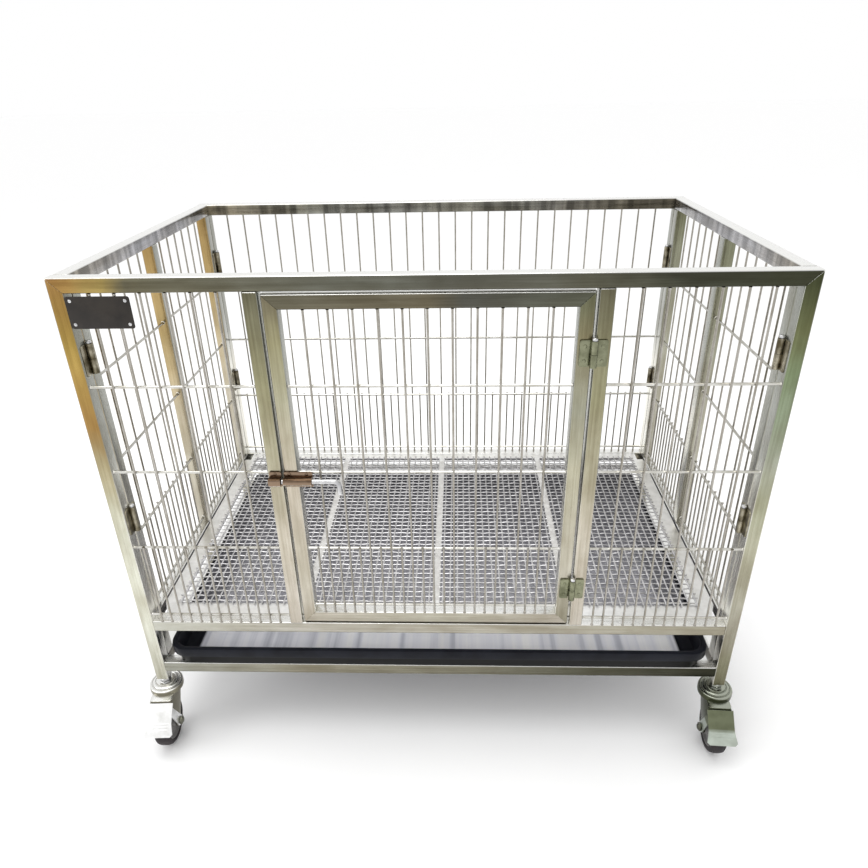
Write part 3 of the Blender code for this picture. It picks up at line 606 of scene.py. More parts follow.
# %% [markdown]
# ## Hinge leaves
#
# Every hinge of the cage is two leaves of 2 mm steel whose rolled knuckles stand on one pin. A leaf is
# cut flat, rolled at one edge, and welded or riveted to its tube. It is modelled as a plate with a
# tongue, and a sleeve for the knuckle. One function serves the eight corner hinges and both door hinges.

# %% Hinge leaves
leaf_thickness = 0.002
leaf_corner = 0.0025
leaf_edge = 0.0003
knuckle_radius = 0.0045
pin_radius = 0.002
pin_play = 0.0002


def hinge_leaf(centre, tall, width, upper, out, face, place):
    """A leaf about a vertical axis at place. Its plate reaches along out, and face points to the tube.
    The knuckle takes the upper or the lower half of the height, and a tongue ties it to the plate."""
    low, high = centre - tall / 2, centre + tall / 2
    own_low, own_high = (centre + gap / 2, high) if upper else (low, centre - gap / 2)
    near, far = knuckle_radius + gap, width - leaf_corner
    outline = [*arc((far, low + leaf_corner), leaf_corner, -90, 0, 4)]
    outline += [*arc((far, high - leaf_corner), leaf_corner, 0, 90, 4)]
    if not upper:
        outline += [(near, high), (near, own_high)]
    outline += [(0, own_high), (0, own_low)]
    if upper:
        outline += [(near, own_low), (near, low)]
    against_tube = np.asarray(place) + np.asarray(face) * (knuckle_radius - leaf_thickness)
    flat = moved(plate(outline, leaf_thickness, leaf_edge), out, (0, 0, 1), face, against_tube)
    bore, skin = pin_radius + pin_play, knuckle_radius
    ring = [(bore, own_low), (skin, own_low), (skin, own_high), (bore, own_high)]
    knuckle = moved(turned(softened(ring, 0.0004, True), 28, True), *as_made, place)
    return joined(flat, knuckle)


print("A hinge leaf is", round(1000 * leaf_thickness), "mm thick")

# %% [markdown]
# ## Corner hinges
#
# Two hinges stand in each corner, one above the other. The upper half of each belongs to the side panel
# and the lower half to the post, and pulling their pins lets a panel go. Their steel is brown.

# %% Corner hinges
leaf_steel = plain_metal("brown steel of the corner hinges", (172, 166, 148), (96, 88, 68), 0.3)
corner_leaf_tall = 0.040
corner_leaf_width = 0.015
pin_boxes = {name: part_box(name) for name in frame["nodes"] if name.startswith("corner_pin")}
corner_hinge_centres = []
for word in ("lower", "upper"):
    corner_hinge_centres.append(pin_boxes[f"corner_pin_front_left_{word}"][0].z + corner_leaf_tall / 2)


def corner_leaf(side, rear, centre, on_side_panel):
    """One leaf at a corner. side is -1 at the left and 1 at the right, and rear -1 at the front and 1 at
    the rear."""
    corner = f"{'rear' if rear > 0 else 'front'}_{'right' if side > 0 else 'left'}"
    low, high = pin_boxes[f"corner_pin_{corner}_lower"]
    place = ((low.x + high.x) / 2, (low.y + high.y) / 2, 0)
    out = (0, -rear if on_side_panel else rear, 0)
    return hinge_leaf(centre, corner_leaf_tall, corner_leaf_width, on_side_panel, out, (side, 0, 0), place)


print("Corner hinges stand at", [round(1000 * centre) for centre in corner_hinge_centres], "mm")

# %% [markdown]
# ## Colours of the front tubes
#
# The front panel mirrors a warm room at its left and a garden at its right: gold at the left corner,
# olive at the right, beige lower down. Each row names a height or a place along the tube, and its colour.

# %% Steel of the front panel
top_rail_steel = stainless("steel of the front top rail", 0, [
    (-0.45, (152, 112, 66)), (-0.43, (166, 134, 80)), (-0.385, (164, 145, 90)), (-0.335, (108, 105, 88)),
    (-0.1, (108, 109, 100)), (0.05, (96, 96, 88)), (0.2, (96, 96, 84)), (0.3, (68, 70, 60)),
    (0.45, (60, 62, 48)),
])
left_post_steel = stainless("steel of the left front post", 2, [
    (0.13, (178, 178, 166)), (0.23, (200, 201, 189)), (0.31, (204, 205, 192)), (0.38, (197, 198, 184)),
    (0.45, (184, 183, 163)), (0.51, (166, 156, 125)), (0.57, (160, 129, 79)), (0.68, (172, 147, 82)),
    (0.76, (158, 124, 74)),
])
right_post_steel = stainless("steel of the right front post", 2, [
    (0.13, (108, 106, 86)), (0.16, (124, 122, 102)), (0.23, (156, 153, 141)), (0.38, (167, 166, 147)),
    (0.45, (165, 167, 145)), (0.51, (156, 159, 145)), (0.57, (141, 152, 130)), (0.63, (125, 139, 109)),
    (0.68, (104, 108, 77)), (0.76, (60, 64, 44)),
])
floor_rail_steel = stainless("steel of the floor rails", 0, [
    (-0.43, (184, 185, 177)), (-0.2, (176, 173, 164)), (0.1, (168, 164, 152)), (0.43, (152, 148, 133)),
])
tray_rail_steel = stainless("steel of the tray rails", 0, [
    (-0.43, (148, 149, 141)), (-0.2, (139, 135, 120)), (0.05, (124, 122, 108)), (0.2, (90, 89, 76)),
    (0.43, (48, 49, 39)),
])
door_post_steel = stainless("steel of the door posts", 2, [
    (0.23, (186, 180, 170)), (0.4, (188, 182, 168)), (0.5, (172, 168, 148)), (0.62, (150, 148, 120)),
    (0.75, (104, 102, 84)),
])
front_finishes = (left_post_steel, right_post_steel, top_rail_steel, floor_rail_steel, tray_rail_steel)
print("The front panel has", len(front_finishes) + 1, "finishes")

# %% [markdown]
# ## Front panel tubes
#
# The top corners of the front panel are mitred, and the floor and tray rails butt against the posts. A
# ledge of flat bar behind the floor rail carries the loose floor grid, and is one with its rail. The rear
# panel is the same weldment without a door, so one function makes both.

# %% Posts and rails of an end panel
ledge_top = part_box("floor_rim")[0].z - gap
ledge_thickness = 0.003
ledge_width = 0.014
ledge_root = 0.004
ledge_half_length = 0.391


def end_panel(end, rear, finishes):
    """Two posts and three rails. rear is -1 at the front and 1 at the rear."""
    left_steel, right_steel, *rail_steels = finishes
    y0, y1 = sorted((rear * half_depth, rear * y_in))
    for (side, word), steel in zip(both_sides, (left_steel, right_steel)):
        x0, x1 = sorted((side * half_width, side * x_in))
        node = f"{end}_post_{word}"
        body = square_tube((x0, y0, post_foot), (x1, y1, height), [(1, 0, side * half_width)])
        piece(f"{node}_tube", body, steel, "frame", node)
        leaves = [corner_leaf(side, rear, centre, False) for centre in corner_hinge_centres]
        piece(f"{node}_leaves", joined(*leaves), leaf_steel, "frame", node)
    rails = (("top", height, half_width), ("floor", floor_rail_top, x_in), ("tray", tray_rail_top, x_in))
    for (word, level, reach), steel in zip(rails, rail_steels):
        mitres = [(0, 2, height), (1, 2, height)] if word == "top" else []
        shape = square_tube((-reach, y0, level - tube), (reach, y1, level), mitres)
        if word == "floor":
            near, far = sorted((rear * (y_in + ledge_root), rear * (y_in - ledge_width)))
            ledge_low = (-ledge_half_length, near, ledge_top - ledge_thickness)
            shape = joined(shape, square_tube(ledge_low, (ledge_half_length, far, ledge_top)))
        piece(f"{end}_{word}_rail_tube", shape, steel, "frame", f"{end}_{word}_rail")


end_panel("front", -1, front_finishes)
for word in ("left", "right"):
    node = f"door_post_{word}"
    piece(f"{node}_tube", square_tube(*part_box(node)), door_post_steel, "frame", node)
print("The front panel has two posts, three rails and two door posts")

# %% [markdown]
# ## Rear panel tubes
#
# Through the wires the rear panel's inner face shows. Its top rail mirrors a busy room as bars of light
# and dark across its length, so its finish has bars as well as a longer row of colours.

# %% Rear posts and rails
rear_rail_steel = stainless("steel of the rear top rail", 0, [
    (-0.45, (154, 146, 128)), (-0.25, (130, 130, 122)), (-0.1, (120, 120, 117)), (0.05, (138, 138, 130)),
    (0.2, (132, 130, 124)), (0.33, (112, 108, 98)), (0.45, (98, 92, 80)),
], bars=(176, 176, 176))
rear_post_steel = stainless("steel of the rear posts", 2, [
    (0.13, (176, 175, 168)), (0.45, (178, 176, 166)), (0.76, (150, 144, 126)),
])
end_panel("rear", 1, (rear_post_steel, rear_post_steel, rear_rail_steel, floor_rail_steel, floor_rail_steel))
print("The rear panel has two posts and three rails")

# %% [markdown]
# ## Side frames
#
# Each side is one rigid frame that swings on the corner hinges: three posts and three rails. The long
# rails run between the end posts, and the middle post stands between the rails.

# %% Side frames
side_rail_steel = stainless("steel of the side rails", 1, [
    (-0.26, (150, 146, 138)), (-0.1, (158, 158, 162)), (0.1, (150, 150, 155)), (0.26, (160, 160, 160)),
], bars=(206, 206, 206))
left_side_steel = stainless("steel of the left side posts", 2, [
    (0.13, (180, 178, 170)), (0.4, (182, 176, 160)), (0.6, (176, 156, 112)), (0.76, (168, 140, 90)),
])
right_side_steel = stainless("steel of the right side posts", 2, [
    (0.13, (170, 168, 160)), (0.4, (168, 166, 154)), (0.76, (120, 122, 100)),
])
side_reach = y_in - gap
for (side, word), post_steel in zip(both_sides, (left_side_steel, right_side_steel)):
    x0, x1 = sorted((side * half_width, side * x_in))
    rails, posts = [], []
    for level in (tray_rail_top, floor_rail_top, height):
        rails.append(square_tube((x0, -side_reach, level - tube), (x1, side_reach, level)))
    for y0 in (-side_reach, -tube / 2, side_reach - tube):
        posts.append(square_tube((x0, y0, floor_rail_top), (x1, y0 + tube, height - tube)))
        posts.append(square_tube((x0, y0, tray_rail_top), (x1, y0 + tube, floor_rail_top - tube)))
    leaves = [corner_leaf(side, rear, centre, True) for rear in (-1, 1) for centre in corner_hinge_centres]
    kinds = (("rails", rails, side_rail_steel), ("posts", posts, post_steel), ("leaves", leaves, leaf_steel))
    for kind, shapes, steel in kinds:
        piece(f"side_{kind}_{word}", joined(*shapes), steel, "frame", f"side_frame_{word}")
print("The two side frames have six rails and six posts")

# %% [markdown]
# ## Door frame
#
# The door is a frame of the same tube with mitred corners. Its four tubes are pieces of their own here,
# because each mirrors something else and has its own row of colours.

# %% Door frame
(door_x0, door_y0, door_z0), (door_x1, door_y1, door_z1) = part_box("door_frame")
left_stile_steel = stainless("steel of the door's left stile", 2, [
    (0.24, (178, 172, 160)), (0.33, (196, 192, 180)), (0.5, (182, 174, 160)), (0.6, (168, 166, 144)),
    (0.68, (150, 146, 116)), (0.74, (116, 110, 92)),
])
right_stile_steel = stainless("steel of the door's right stile", 2, [
    (0.24, (152, 149, 134)), (0.33, (182, 178, 165)), (0.5, (174, 171, 151)), (0.6, (152, 152, 136)),
    (0.68, (128, 122, 96)), (0.74, (104, 106, 84)),
])
door_top_steel = stainless("steel of the door's top rail", 0, [
    (-0.2, (114, 112, 98)), (0.0, (110, 104, 88)), (0.05, (84, 84, 78)), (0.2, (92, 94, 82)),
])
door_foot_steel = stainless("steel of the door's bottom rail", 0, [
    (-0.2, (172, 166, 154)), (0.0, (186, 184, 172)), (0.2, (172, 166, 155)),
])
stile_right, rail_top = door_x0 + tube, door_z0 + tube
stile_left, rail_foot = door_x1 - tube, door_z1 - tube
for word, (x0, x1), (z0, z1), steel, axis, face in (
    ("left_stile", (door_x0, stile_right), (door_z0, door_z1), left_stile_steel, 0, door_x0),
    ("right_stile", (stile_left, door_x1), (door_z0, door_z1), right_stile_steel, 0, door_x1),
    ("top_rail", (door_x0, door_x1), (rail_foot, door_z1), door_top_steel, 2, door_z1),
    ("bottom_rail", (door_x0, door_x1), (door_z0, rail_top), door_foot_steel, 2, door_z0),
):
    shape = square_tube((x0, door_y0, z0), (x1, door_y1, z1), [(0, axis, face), (1, axis, face)])
    piece(f"door_{word}", shape, steel, "door", "door_frame")
print("The door frame is", round(1000 * (door_x1 - door_x0)), "by", round(1000 * (door_z1 - door_z0)), "mm")

# %% [markdown]
# ## Drawn wire
#
# A round bright wire mirrors what is in front of it along its middle, and the sides of the room along
# its edges. So its colour goes from one shade to the other with the angle at which it is seen. All the
# wires of a panel are alike, and are one array of rings: a few sides, and a fillet of weld at each end.

# %% Drawn wire
weld_reach = np.array([0, 0.0004, 0.0010, 0.0020])
weld_girth = np.array([1.55, 1.22, 1.06, 1])
wire_sides = 10


def wires(starts, ends, radius):
    """Round wires, whose rings lie at start + along x reach. Their girth swells near both ends, as a
    weld does where a wire meets a tube."""
    starts, ends = np.asarray(starts, float), np.asarray(ends, float)
    length = np.linalg.norm(ends - starts, axis=1)[:, None]
    along = (ends - starts) / length
    aside = np.where(np.abs(along[:, 2:]) > 0.9, [[1.0, 0, 0]], [[0, 0, 1.0]])
    u = np.cross(aside, along)
    v = np.cross(along, u)
    reach = np.concatenate([np.tile(weld_reach, (len(length), 1)), length - weld_reach[::-1]], 1)
    girth = radius * np.concatenate([weld_girth, weld_girth[::-1]])
    centres = starts[:, None] + along[:, None] * reach[:, :, None]
    return round_bars(centres, girth, u[:, None], v[:, None], wire_sides)


def wire_finish(name, middle, edge, roughness):
    """Drawn wire: one shade where it faces the eye and another along its edges, in soft clouds."""
    finish = Finish(name, 1.0, roughness)
    share = finish.add("ShaderNodeLayerWeight", Blend=0.35).outputs["Facing"]
    colour = finish.blend(share, linear(middle), linear(edge))
    finish.wear(finish.times(colour, finish.clouds(60, (222, 220, 214), (255, 255, 255))))
    finish.bump(finish.noise(900), 0.00001)
    return finish.material


# Both are the same drawn wire, and their shades are painted reflections: an upright is dark along its middle,
# where it mirrors the room in front, and a row is bright along its middle, where it mirrors the ceiling, and
# dark along its edges.
upright_wire = wire_finish("drawn wire of the uprights", (158, 154, 147), (214, 211, 205), 0.2)
row_wire = wire_finish("drawn wire of the rows, painted bright reflection", (224, 223, 218), (150, 148, 142), 0.16)
print("Wires of", [2000 * upright_radius, 2000 * row_radius], "mm are ready to be welded")

# %% [markdown]
# ## Wire panels
#
# A panel's uprights lie on its outside and its rows on the inside, pressed together hot where they cross,
# which leaves a small nugget at each crossing. Short uprights halve the gaps below the second row, so
# that a puppy's head can't go through. The nuggets are hundreds, so each has only a few faces.

# %% Wire panels
weld_depth = 0.0003
nugget_profile = [(0.0001, -0.0013), (0.0011, -0.0011), (0.0016, 0), (0.0011, 0.0011), (0.0001, 0.0013)]
nugget_shift = 0.0002
upward_z = np.array([0, 0, 1.0])


def spaced(low, high, pitch):
    """Places that divide the clear width into equal gaps of about the pitch, and the gaps' middles."""
    gaps = max(1, round((high - low) / pitch))
    places = low + (high - low) * np.arange(1, 2 * gaps) / (2 * gaps)
    return places[1::2], places[::2]


def row_levels(bottom, top):
    """The first row lies just above the rail, and the rest are level with those of every panel."""
    first = bottom + first_row
    shared = floor_rail_top + first_row + row_pitch * np.arange(6)
    return np.array([first, *shared[(shared > first + row_pitch / 2) & (shared < top - row_pitch / 2)]])


def repeated(shape, spots):
    """One shape at many spots, all at once: its points are added to each spot's."""
    points, faces = shape
    shifts = np.arange(len(spots))[:, None, None] * len(points)
    many = (spots[:, None] + points).reshape(-1, 3)
    return many, [(face + shifts).reshape(-1, face.shape[1]) for face in faces]


def wire_panel(name, body, low, high, bottom, top, pitch, along, out):
    """Uprights and rows, with along and out as the panel's level directions. The solid's outermost
    face is that of the uprights: plane = outermost - upright radius - upright depth."""
    along, out = np.array(along, float), np.array(out, float)
    upright_depth, row_depth = row_radius - weld_depth, weld_depth - upright_radius
    outermost = max(np.array(corner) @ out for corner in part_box(name))
    middle = out * (outermost - upright_radius - upright_depth)

    def place(a, z, depth):
        a, z = np.broadcast_arrays(a, z)
        return middle + a[..., None] * along + depth * out + z[..., None] * upward_z

    (columns, middles), rows = spaced(low, high, pitch), row_levels(bottom, top)
    short_top = rows[1] + row_radius
    feet = place(np.append(columns, middles), bottom, upright_depth)
    heads = np.concatenate([place(columns, top, upright_depth), place(middles, short_top, upright_depth)])
    piece(f"{name}_uprights", wires(feet, heads, upright_radius), upright_wire, body, name)

    crossings = [np.ravel(grid) for grid in np.meshgrid(columns, rows)]
    short_crossings = [np.ravel(grid) for grid in np.meshgrid(middles, rows[:2])]
    crossing_a, crossing_z = np.concatenate([crossings, short_crossings], 1)
    spots = place(crossing_a, crossing_z, (upright_depth + row_depth) / 2 + nugget_shift)
    directions = (out, along, upward_z)
    if np.linalg.det(directions) < 0:
        directions = (along, out, upward_z)
    nuggets = repeated(moved(turned(nugget_profile, 8), *directions), spots)
    bars = wires(place(low, rows, row_depth), place(high, rows, row_depth), row_radius)
    piece(f"{name}_rows", joined(bars, nuggets), row_wire, body, name)
    print(name, "has", len(columns), "long and", len(middles), "short uprights, and", len(rows), "rows")


beside_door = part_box("door_post_right")[1].x
bottom_and_top = (floor_rail_top, height - tube)
wire_panel("rear_wires", "frame", -x_in, x_in, *bottom_and_top, upright_pitch, (1, 0, 0), (0, 1, 0))
for side, word in both_sides:
    ends = sorted((side * beside_door, side * x_in))
    name = f"front_wires_{word}"
    wire_panel(name, "frame", *ends, *bottom_and_top, upright_pitch, (1, 0, 0), (0, -1, 0))
    for rear, end in both_ends:
        ends = sorted((rear * tube / 2, rear * (side_reach - tube)))
        name = f"side_wires_{word}_{end}"
        wire_panel(name, "frame", *ends, *bottom_and_top, side_pitch, (0, 1, 0), (side, 0, 0))
door_clear = (stile_right, stile_left, rail_top, rail_foot)
wire_panel("door_wires", "door", *door_clear, upright_pitch, (1, 0, 0), (0, -1, 0))

# %% [markdown]
# ## Woven floor
#
# The floor is a mesh of crimped wires, 11.5 mm apart, each passing over one and under the next, welded to
# a flat rim and three bars. A crimped wire is a cosine wave, and the crossing wires have the opposite
# wave. The wires that run to the rear are nearly straight, and end beside the bars, which stay clear.
# Each wire has only six sides and two rings a crossing, as there are thousands.

# %% Floor mesh
mesh_pitch = 0.0115
mesh_radius = 0.00132
mesh_sides = 6
mesh_low, mesh_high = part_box("floor_mesh")
mesh_level = (mesh_low.z + mesh_high.z) / 2
sideways_level, sideways_crimp = mesh_level - 0.0004, 0.0006
rearward_level, rearward_crimp = mesh_level + 0.0005, -0.0003


def mesh_finish(name, light, dark):
    """Woven wire: two close greys in soft clouds, and darker to the rear, where it mirrors a wall."""
    finish = Finish(name, 1.0, 0.3)
    rearward = finish.ranged(finish.parts(finish.place)[1], 0, 1, -0.16, 0.1)
    shade = finish.ramp(rearward, (0, (255, 255, 255)), (1, (222, 222, 221)))
    finish.wear(finish.times(finish.clouds(70, dark, light), shade))
    finish.bump(finish.noise(500), 0.00003)
    return finish.material


def woven(low, high, side_low, side_high, middle, crimp, rearward):
    """Crimped wires from low to high, spread over the other direction. Their height is
    middle + crimp cos(pi t / pitch)."""
    count = round((side_high - side_low) / mesh_pitch)
    offsets = side_low + (side_high - side_low) * (np.arange(count) + 0.5) / count
    crossings = round((high - low) / mesh_pitch)
    step = (high - low) / crossings
    t = np.arange(2 * crossings + 1) * step / 2
    phase = np.where(np.arange(count) % 2, 1, -1)[:, None]
    turn = math.pi * (t - step / 2) / step
    rise = middle + phase * crimp * np.cos(turn)
    tilt = np.arctan(-phase * crimp * math.pi / step * np.sin(turn))[..., None]
    angles = np.linspace(0, 2 * math.pi, mesh_sides, endpoint=False) + math.pi / mesh_sides
    across, up = mesh_radius * np.cos(angles), mesh_radius * np.sin(angles)
    along = (low + t)[None, :, None] - up * np.sin(tilt)
    aside = offsets[:, None, None] + across + 0 * along
    rings = np.stack([along, aside, rise[..., None] + up * np.cos(tilt)], -1)
    return skins(rings[..., [1, 0, 2]] if rearward else rings[:, :, ::-1])


bar_places, bar_half_width, lap = (-0.204, 0.0, 0.204), 0.006, 0.001
bay_lows = [mesh_low.x, *[place + bar_half_width - lap for place in bar_places]]
bay_highs = [*[place - bar_half_width + lap for place in bar_places], mesh_high.x]
sideways_wires, rearward_wires = [], []
for low, high in zip(bay_lows, bay_highs):
    sideways_wires.append(woven(low, high, mesh_low.y, mesh_high.y, sideways_level, sideways_crimp, False))
    rearward_wires.append(woven(mesh_low.y, mesh_high.y, low, high, rearward_level, rearward_crimp, True))
# Both sets are the same wire; the sideways wires have a darker painted reflection than those that run to the
# rear.
sideways_steel = mesh_finish("woven floor wire, sideways", (196, 195, 196), (168, 167, 168))
rearward_steel = mesh_finish("woven floor wire", (222, 221, 222), (198, 197, 198))
piece("floor_long_wires", joined(*sideways_wires), sideways_steel, "floor", "floor_mesh")
piece("floor_cross_wires", joined(*rearward_wires), rearward_steel, "floor", "floor_mesh")
print("The woven floor is", [round(1000 * side) for side in mesh_high - mesh_low], "mm in size")

# %% [markdown]
# ## Floor rim
#
# The rim and the bars are flat steel, and the solid model already has their true shape. So the solid is
# kept, and gets a finish: the border is nearly white, and the bars inside it are a little darker.

# %% Floor rim
rim_finish = Finish("flat bar of the floor rim", 1.0, 0.34)
rim_border = rim_finish.clouds(60, (236, 236, 234), (252, 252, 251))
rim_bars = rim_finish.clouds(60, (214, 212, 209), (236, 235, 232))
mesh_on_rim = 0.012
inside_border = rim_finish.within(mesh_high.x - mesh_on_rim, mesh_high.y - mesh_on_rim, 0.004)
rim_finish.wear(rim_finish.blend(inside_border, rim_border, rim_bars))
rim_finish.bump(rim_finish.noise(260), 0.00003)
frame["nodes"]["floor_rim"].material_slots[0].material = rim_finish.material
print("The floor rim keeps its solid and gets two shades")

# %% [markdown]
# ## Tray
#
# The tray is one sheet of dark plastic, drawn over a mould: steep walls, round corners, a thick rim that
# turns down, and a shallow step round its floor that stiffens it. Its outline is a rounded rectangle, and
# the skin follows one profile all the way round, outside and in.

# %% Tray
tray_wall, lip_width, lip_height = 0.0025, 0.006, 0.015
draft, tray_corner, tray_edge = 0.001, 0.028, 0.0026
step_start, step_end, step_height, floor_inset = 0.022, 0.026, 0.0015, 0.06
tray_low, tray_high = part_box("tray")
bottom, brim = tray_low.z, tray_high.z
foot, lip_foot = lip_width + draft, brim - lip_height
inside_level = bottom + tray_wall
step_level = inside_level + step_height
profile = softened([
    (foot + floor_inset, bottom), (foot, bottom), (lip_width, brim - tray_wall),
    (tray_wall, brim - tray_wall), (tray_wall, lip_foot), (0, lip_foot), (0, brim),
    (lip_width + tray_wall, brim), (foot + tray_wall, inside_level), (foot + step_start, inside_level),
    (foot + step_end, step_level), (foot + floor_inset, step_level),
], tray_edge)
half_x, half_y = (tray_high.x - tray_low.x) / 2, (tray_high.y - tray_low.y) / 2
tray_centre = (0, (tray_high.y + tray_low.y) / 2)
tray_rings = []
for distance, z in profile:
    radius = max(tray_corner - distance / 2, tray_wall)
    tray_rings.append((rounded(half_x - distance, half_y - distance, radius, 8) + tray_centre, z))
print("The tray is", round(2000 * half_x), "by", round(2000 * half_y), "mm")

# %% [markdown]
# ## The tray's plastic
#
# The plastic is nearly black, but its glossy floor mirrors the bright room behind the cage as streaks:
# pale at the front, grey under the mesh and darker to the rear. A real mirror would show this white
# studio, so the streaks are painted, and a dark border is left where the floor mirrors the walls.

# %% The tray's plastic
plastic = Finish("dark tray plastic", 0.0, 0.36, 0.12)
_, tray_y, tray_z = plastic.parts(plastic.place)
streaks = plastic.ranged(plastic.noise(60, (1, 0.02, 1), 4), 0, 1, 0.3, 0.7)
pale = plastic.ramp(streaks, (0, (196, 198, 208)), (0.4, (236, 237, 244)), (1, (255, 255, 255)))
grey = plastic.ramp(streaks, (0, (150, 150, 157)), (1, (188, 187, 193)))
deep_grey = plastic.ramp(streaks, (0, (94, 94, 100)), (1, (126, 125, 130)))
to_the_rear = plastic.blend(plastic.ranged(tray_y, 0, 1, -0.1, 0.1), grey, deep_grey)
floor_colour = plastic.blend(plastic.ranged(tray_y, 0, 1, -0.205, -0.145), pale, to_the_rear)

dark = plastic.clouds(30, (18, 19, 25), (27, 29, 36))
# Painted shadow: the outside walls below the lip are nearly black.
shaded = plastic.ramp(streaks, (0, (7, 7, 8)), (1, (11, 11, 11)))
below_lip = plastic.ranged(tray_z, 1, 0, lip_foot - 0.0004, lip_foot + 0.0004)
inner_face = foot + 0.0008
inside = plastic.within(half_x - inner_face, half_y - inner_face, 0.0006)
walls = plastic.blend(inside, plastic.blend(below_lip, dark, shaded), dark)
# Painted reflection: the inner walls under the mesh are grey, not black.
grey_wall = plastic.ramp(streaks, (0, (112, 112, 118)), (1, (136, 135, 140)))
under_mesh = plastic.maths("MULTIPLY", plastic.ranged(tray_y, 0, 1, -0.2, -0.14), inside)
border = plastic.blend(under_mesh, walls, grey_wall)

border_x, border_y = 0.034, 0.030
on_floor = plastic.within(half_x - border_x, half_y - border_y, 0.004)
level_share = plastic.ranged(plastic.facing()[2], 0, 1, 0.5, 0.9)
plastic.wear(plastic.blend(plastic.maths("MULTIPLY", on_floor, level_share), border, floor_colour))
plastic.bump(plastic.noise(700), 0.00003)
piece("tray_moulding", stacked(tray_rings), plastic.material, "tray", "tray")
print("The tray's plastic has a dark border and streaks")

# %% [markdown]
# ## Pins
#
# The loose pins of the corner hinges and the pins of the door hinges are bright zinc-plated rods with a
# domed head. Each is one turned profile between the ends of its solid.

# %% Pins
head_radius, head_height, dome = 0.0036, 0.004, 0.0014
pin_edge = 0.0004


def pin(low, high):
    """A rod from low to high, as (radius, height), with a domed head on top of it."""
    neck = high - head_height
    cap = [(head_radius * math.cos(a), high - dome + dome * math.sin(a)) for a in np.radians([0, 25, 50, 75])]
    return turned([
        (0.0002, low), (pin_radius - pin_edge, low), (pin_radius, low + 0.0005), (pin_radius, neck),
        (head_radius - pin_edge, neck), (head_radius, neck + pin_edge), *cap, (0.0001, high),
    ], 20)


def pin_piece(node, body):
    """A pin that takes its place and length from its solid."""
    low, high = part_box(node)
    axis = ((low.x + high.x) / 2, (low.y + high.y) / 2, 0)
    piece(f"{node}_rod", moved(pin(low.z, high.z), *as_made, axis), zinc, body, node)
    return axis, low.z


for node in pin_boxes:
    pin_piece(node, node)
print(len(pin_boxes), "corner pins are made")

# %% [markdown]
# ## Door hinges
#
# The door's leaves are as bright as the tubes and mirror the same olive green. Each is held by two domed
# rivets, which are turned once and set on every leaf of the door and of the latch.

# %% Door hinges
hinge_steel = plain_metal("olive hinge steel", (138, 140, 116), (104, 106, 84), 0.28)
rivet = turned([(0.0024, 0), (0.0023, 0.0005), (0.0016, 0.0010), (0.0001, 0.0012)], 16)
door_leaf_tall, door_leaf_width = 0.034, 0.017
rivet_reach, rivet_rise = 0.0108, 0.0095
for level in ("lower", "upper"):
    door_axis, pin_foot = pin_piece(f"door_hinge_pin_{level}", "frame")
    centre = pin_foot + door_leaf_tall / 2
    leaf_front = door_axis[1] + knuckle_radius - leaf_thickness
    for side, kind, body in ((-1, "door", "door"), (1, "post", "frame")):
        out = (side, 0, 0)
        leaf = hinge_leaf(centre, door_leaf_tall, door_leaf_width, kind == "door", out, (0, 1, 0), door_axis)
        shapes = [leaf]
        for rise in (-rivet_rise, rivet_rise):
            spot = (door_axis[0] + side * rivet_reach, leaf_front, centre + rise)
            shapes.append(moved(rivet, *facing_front, spot))
        node = f"door_hinge_{kind}_leaf_{level}"
        piece(f"{node}_plate", joined(*shapes), hinge_steel, body, node)
print("Two door hinges are made")

# %% [markdown]
# ## Latch
#
# A round bolt slides in a sleeve on the door and shoots into a staple on the post. Both sit on small
# plates with rivets above and below. Brown steel this small mirrors dark above and bright below, so its
# colour follows the way each face looks.

# %% Steel that follows the way a face looks
def faced(name, down, level, up, roughness=0.26):
    """Plated steel whose colour follows the way each face looks: down, level or up."""
    finish = Finish(name, 1.0, roughness)
    wander = finish.ranged(finish.noise(90), -0.07, 0.07)
    share = finish.maths("ADD", finish.ranged(finish.facing()[2], 0, 1, -1, 1), wander)
    finish.wear(finish.ramp(share, (0.12, down), (0.38, level), (0.62, level), (0.88, up)))
    finish.bump(finish.noise(300), 0.00003)
    return finish.material


latch_steel = faced("brown latch steel", (236, 230, 222), (136, 116, 98), (88, 70, 54), 0.2)
print("Latch steel is dark above and bright below")

# %% [markdown]
# ## Sleeve and staple
#
# The sleeve is turned, and the staple is a square ring with round corners. Both lie along the bolt, and
# every place is taken from the solids, so that the bolt runs through them with its gap all round.

# %% Sleeve and staple
lying_across = ((0, 0, 1), (0, 1, 0), (-1, 0, 0))
bolt_low, bolt_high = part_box("latch_bolt")
bolt_radius = 0.0035
bolt_y, bolt_z = (bolt_low.y + bolt_high.y) / 2, bolt_high.z - bolt_radius
barrel_radius, barrel_bore, barrel_edge = 0.0058, bolt_radius + gap, 0.0005
latch_rivet_rise = 0.0085


def sleeve(half):
    """A turned tube about Z, from -half to half."""
    ring = [(barrel_bore, -half), (barrel_radius, -half), (barrel_radius, half), (barrel_bore, half)]
    return turned(softened(ring, barrel_edge, True), 32, True)


def staple(half):
    """A square ring about Z with a square bore, from -half to half."""
    bore = rounded(barrel_bore, barrel_bore, 0.001)
    outer = rounded(barrel_radius, barrel_radius, 0.003)
    edge = rounded(barrel_radius - barrel_edge, barrel_radius - barrel_edge, 0.0026)
    lower = [(bore, -half), (edge, -half), (outer, barrel_edge - half)]
    return stacked([*lower, (outer, half - barrel_edge), (edge, half), (bore, half)], True)


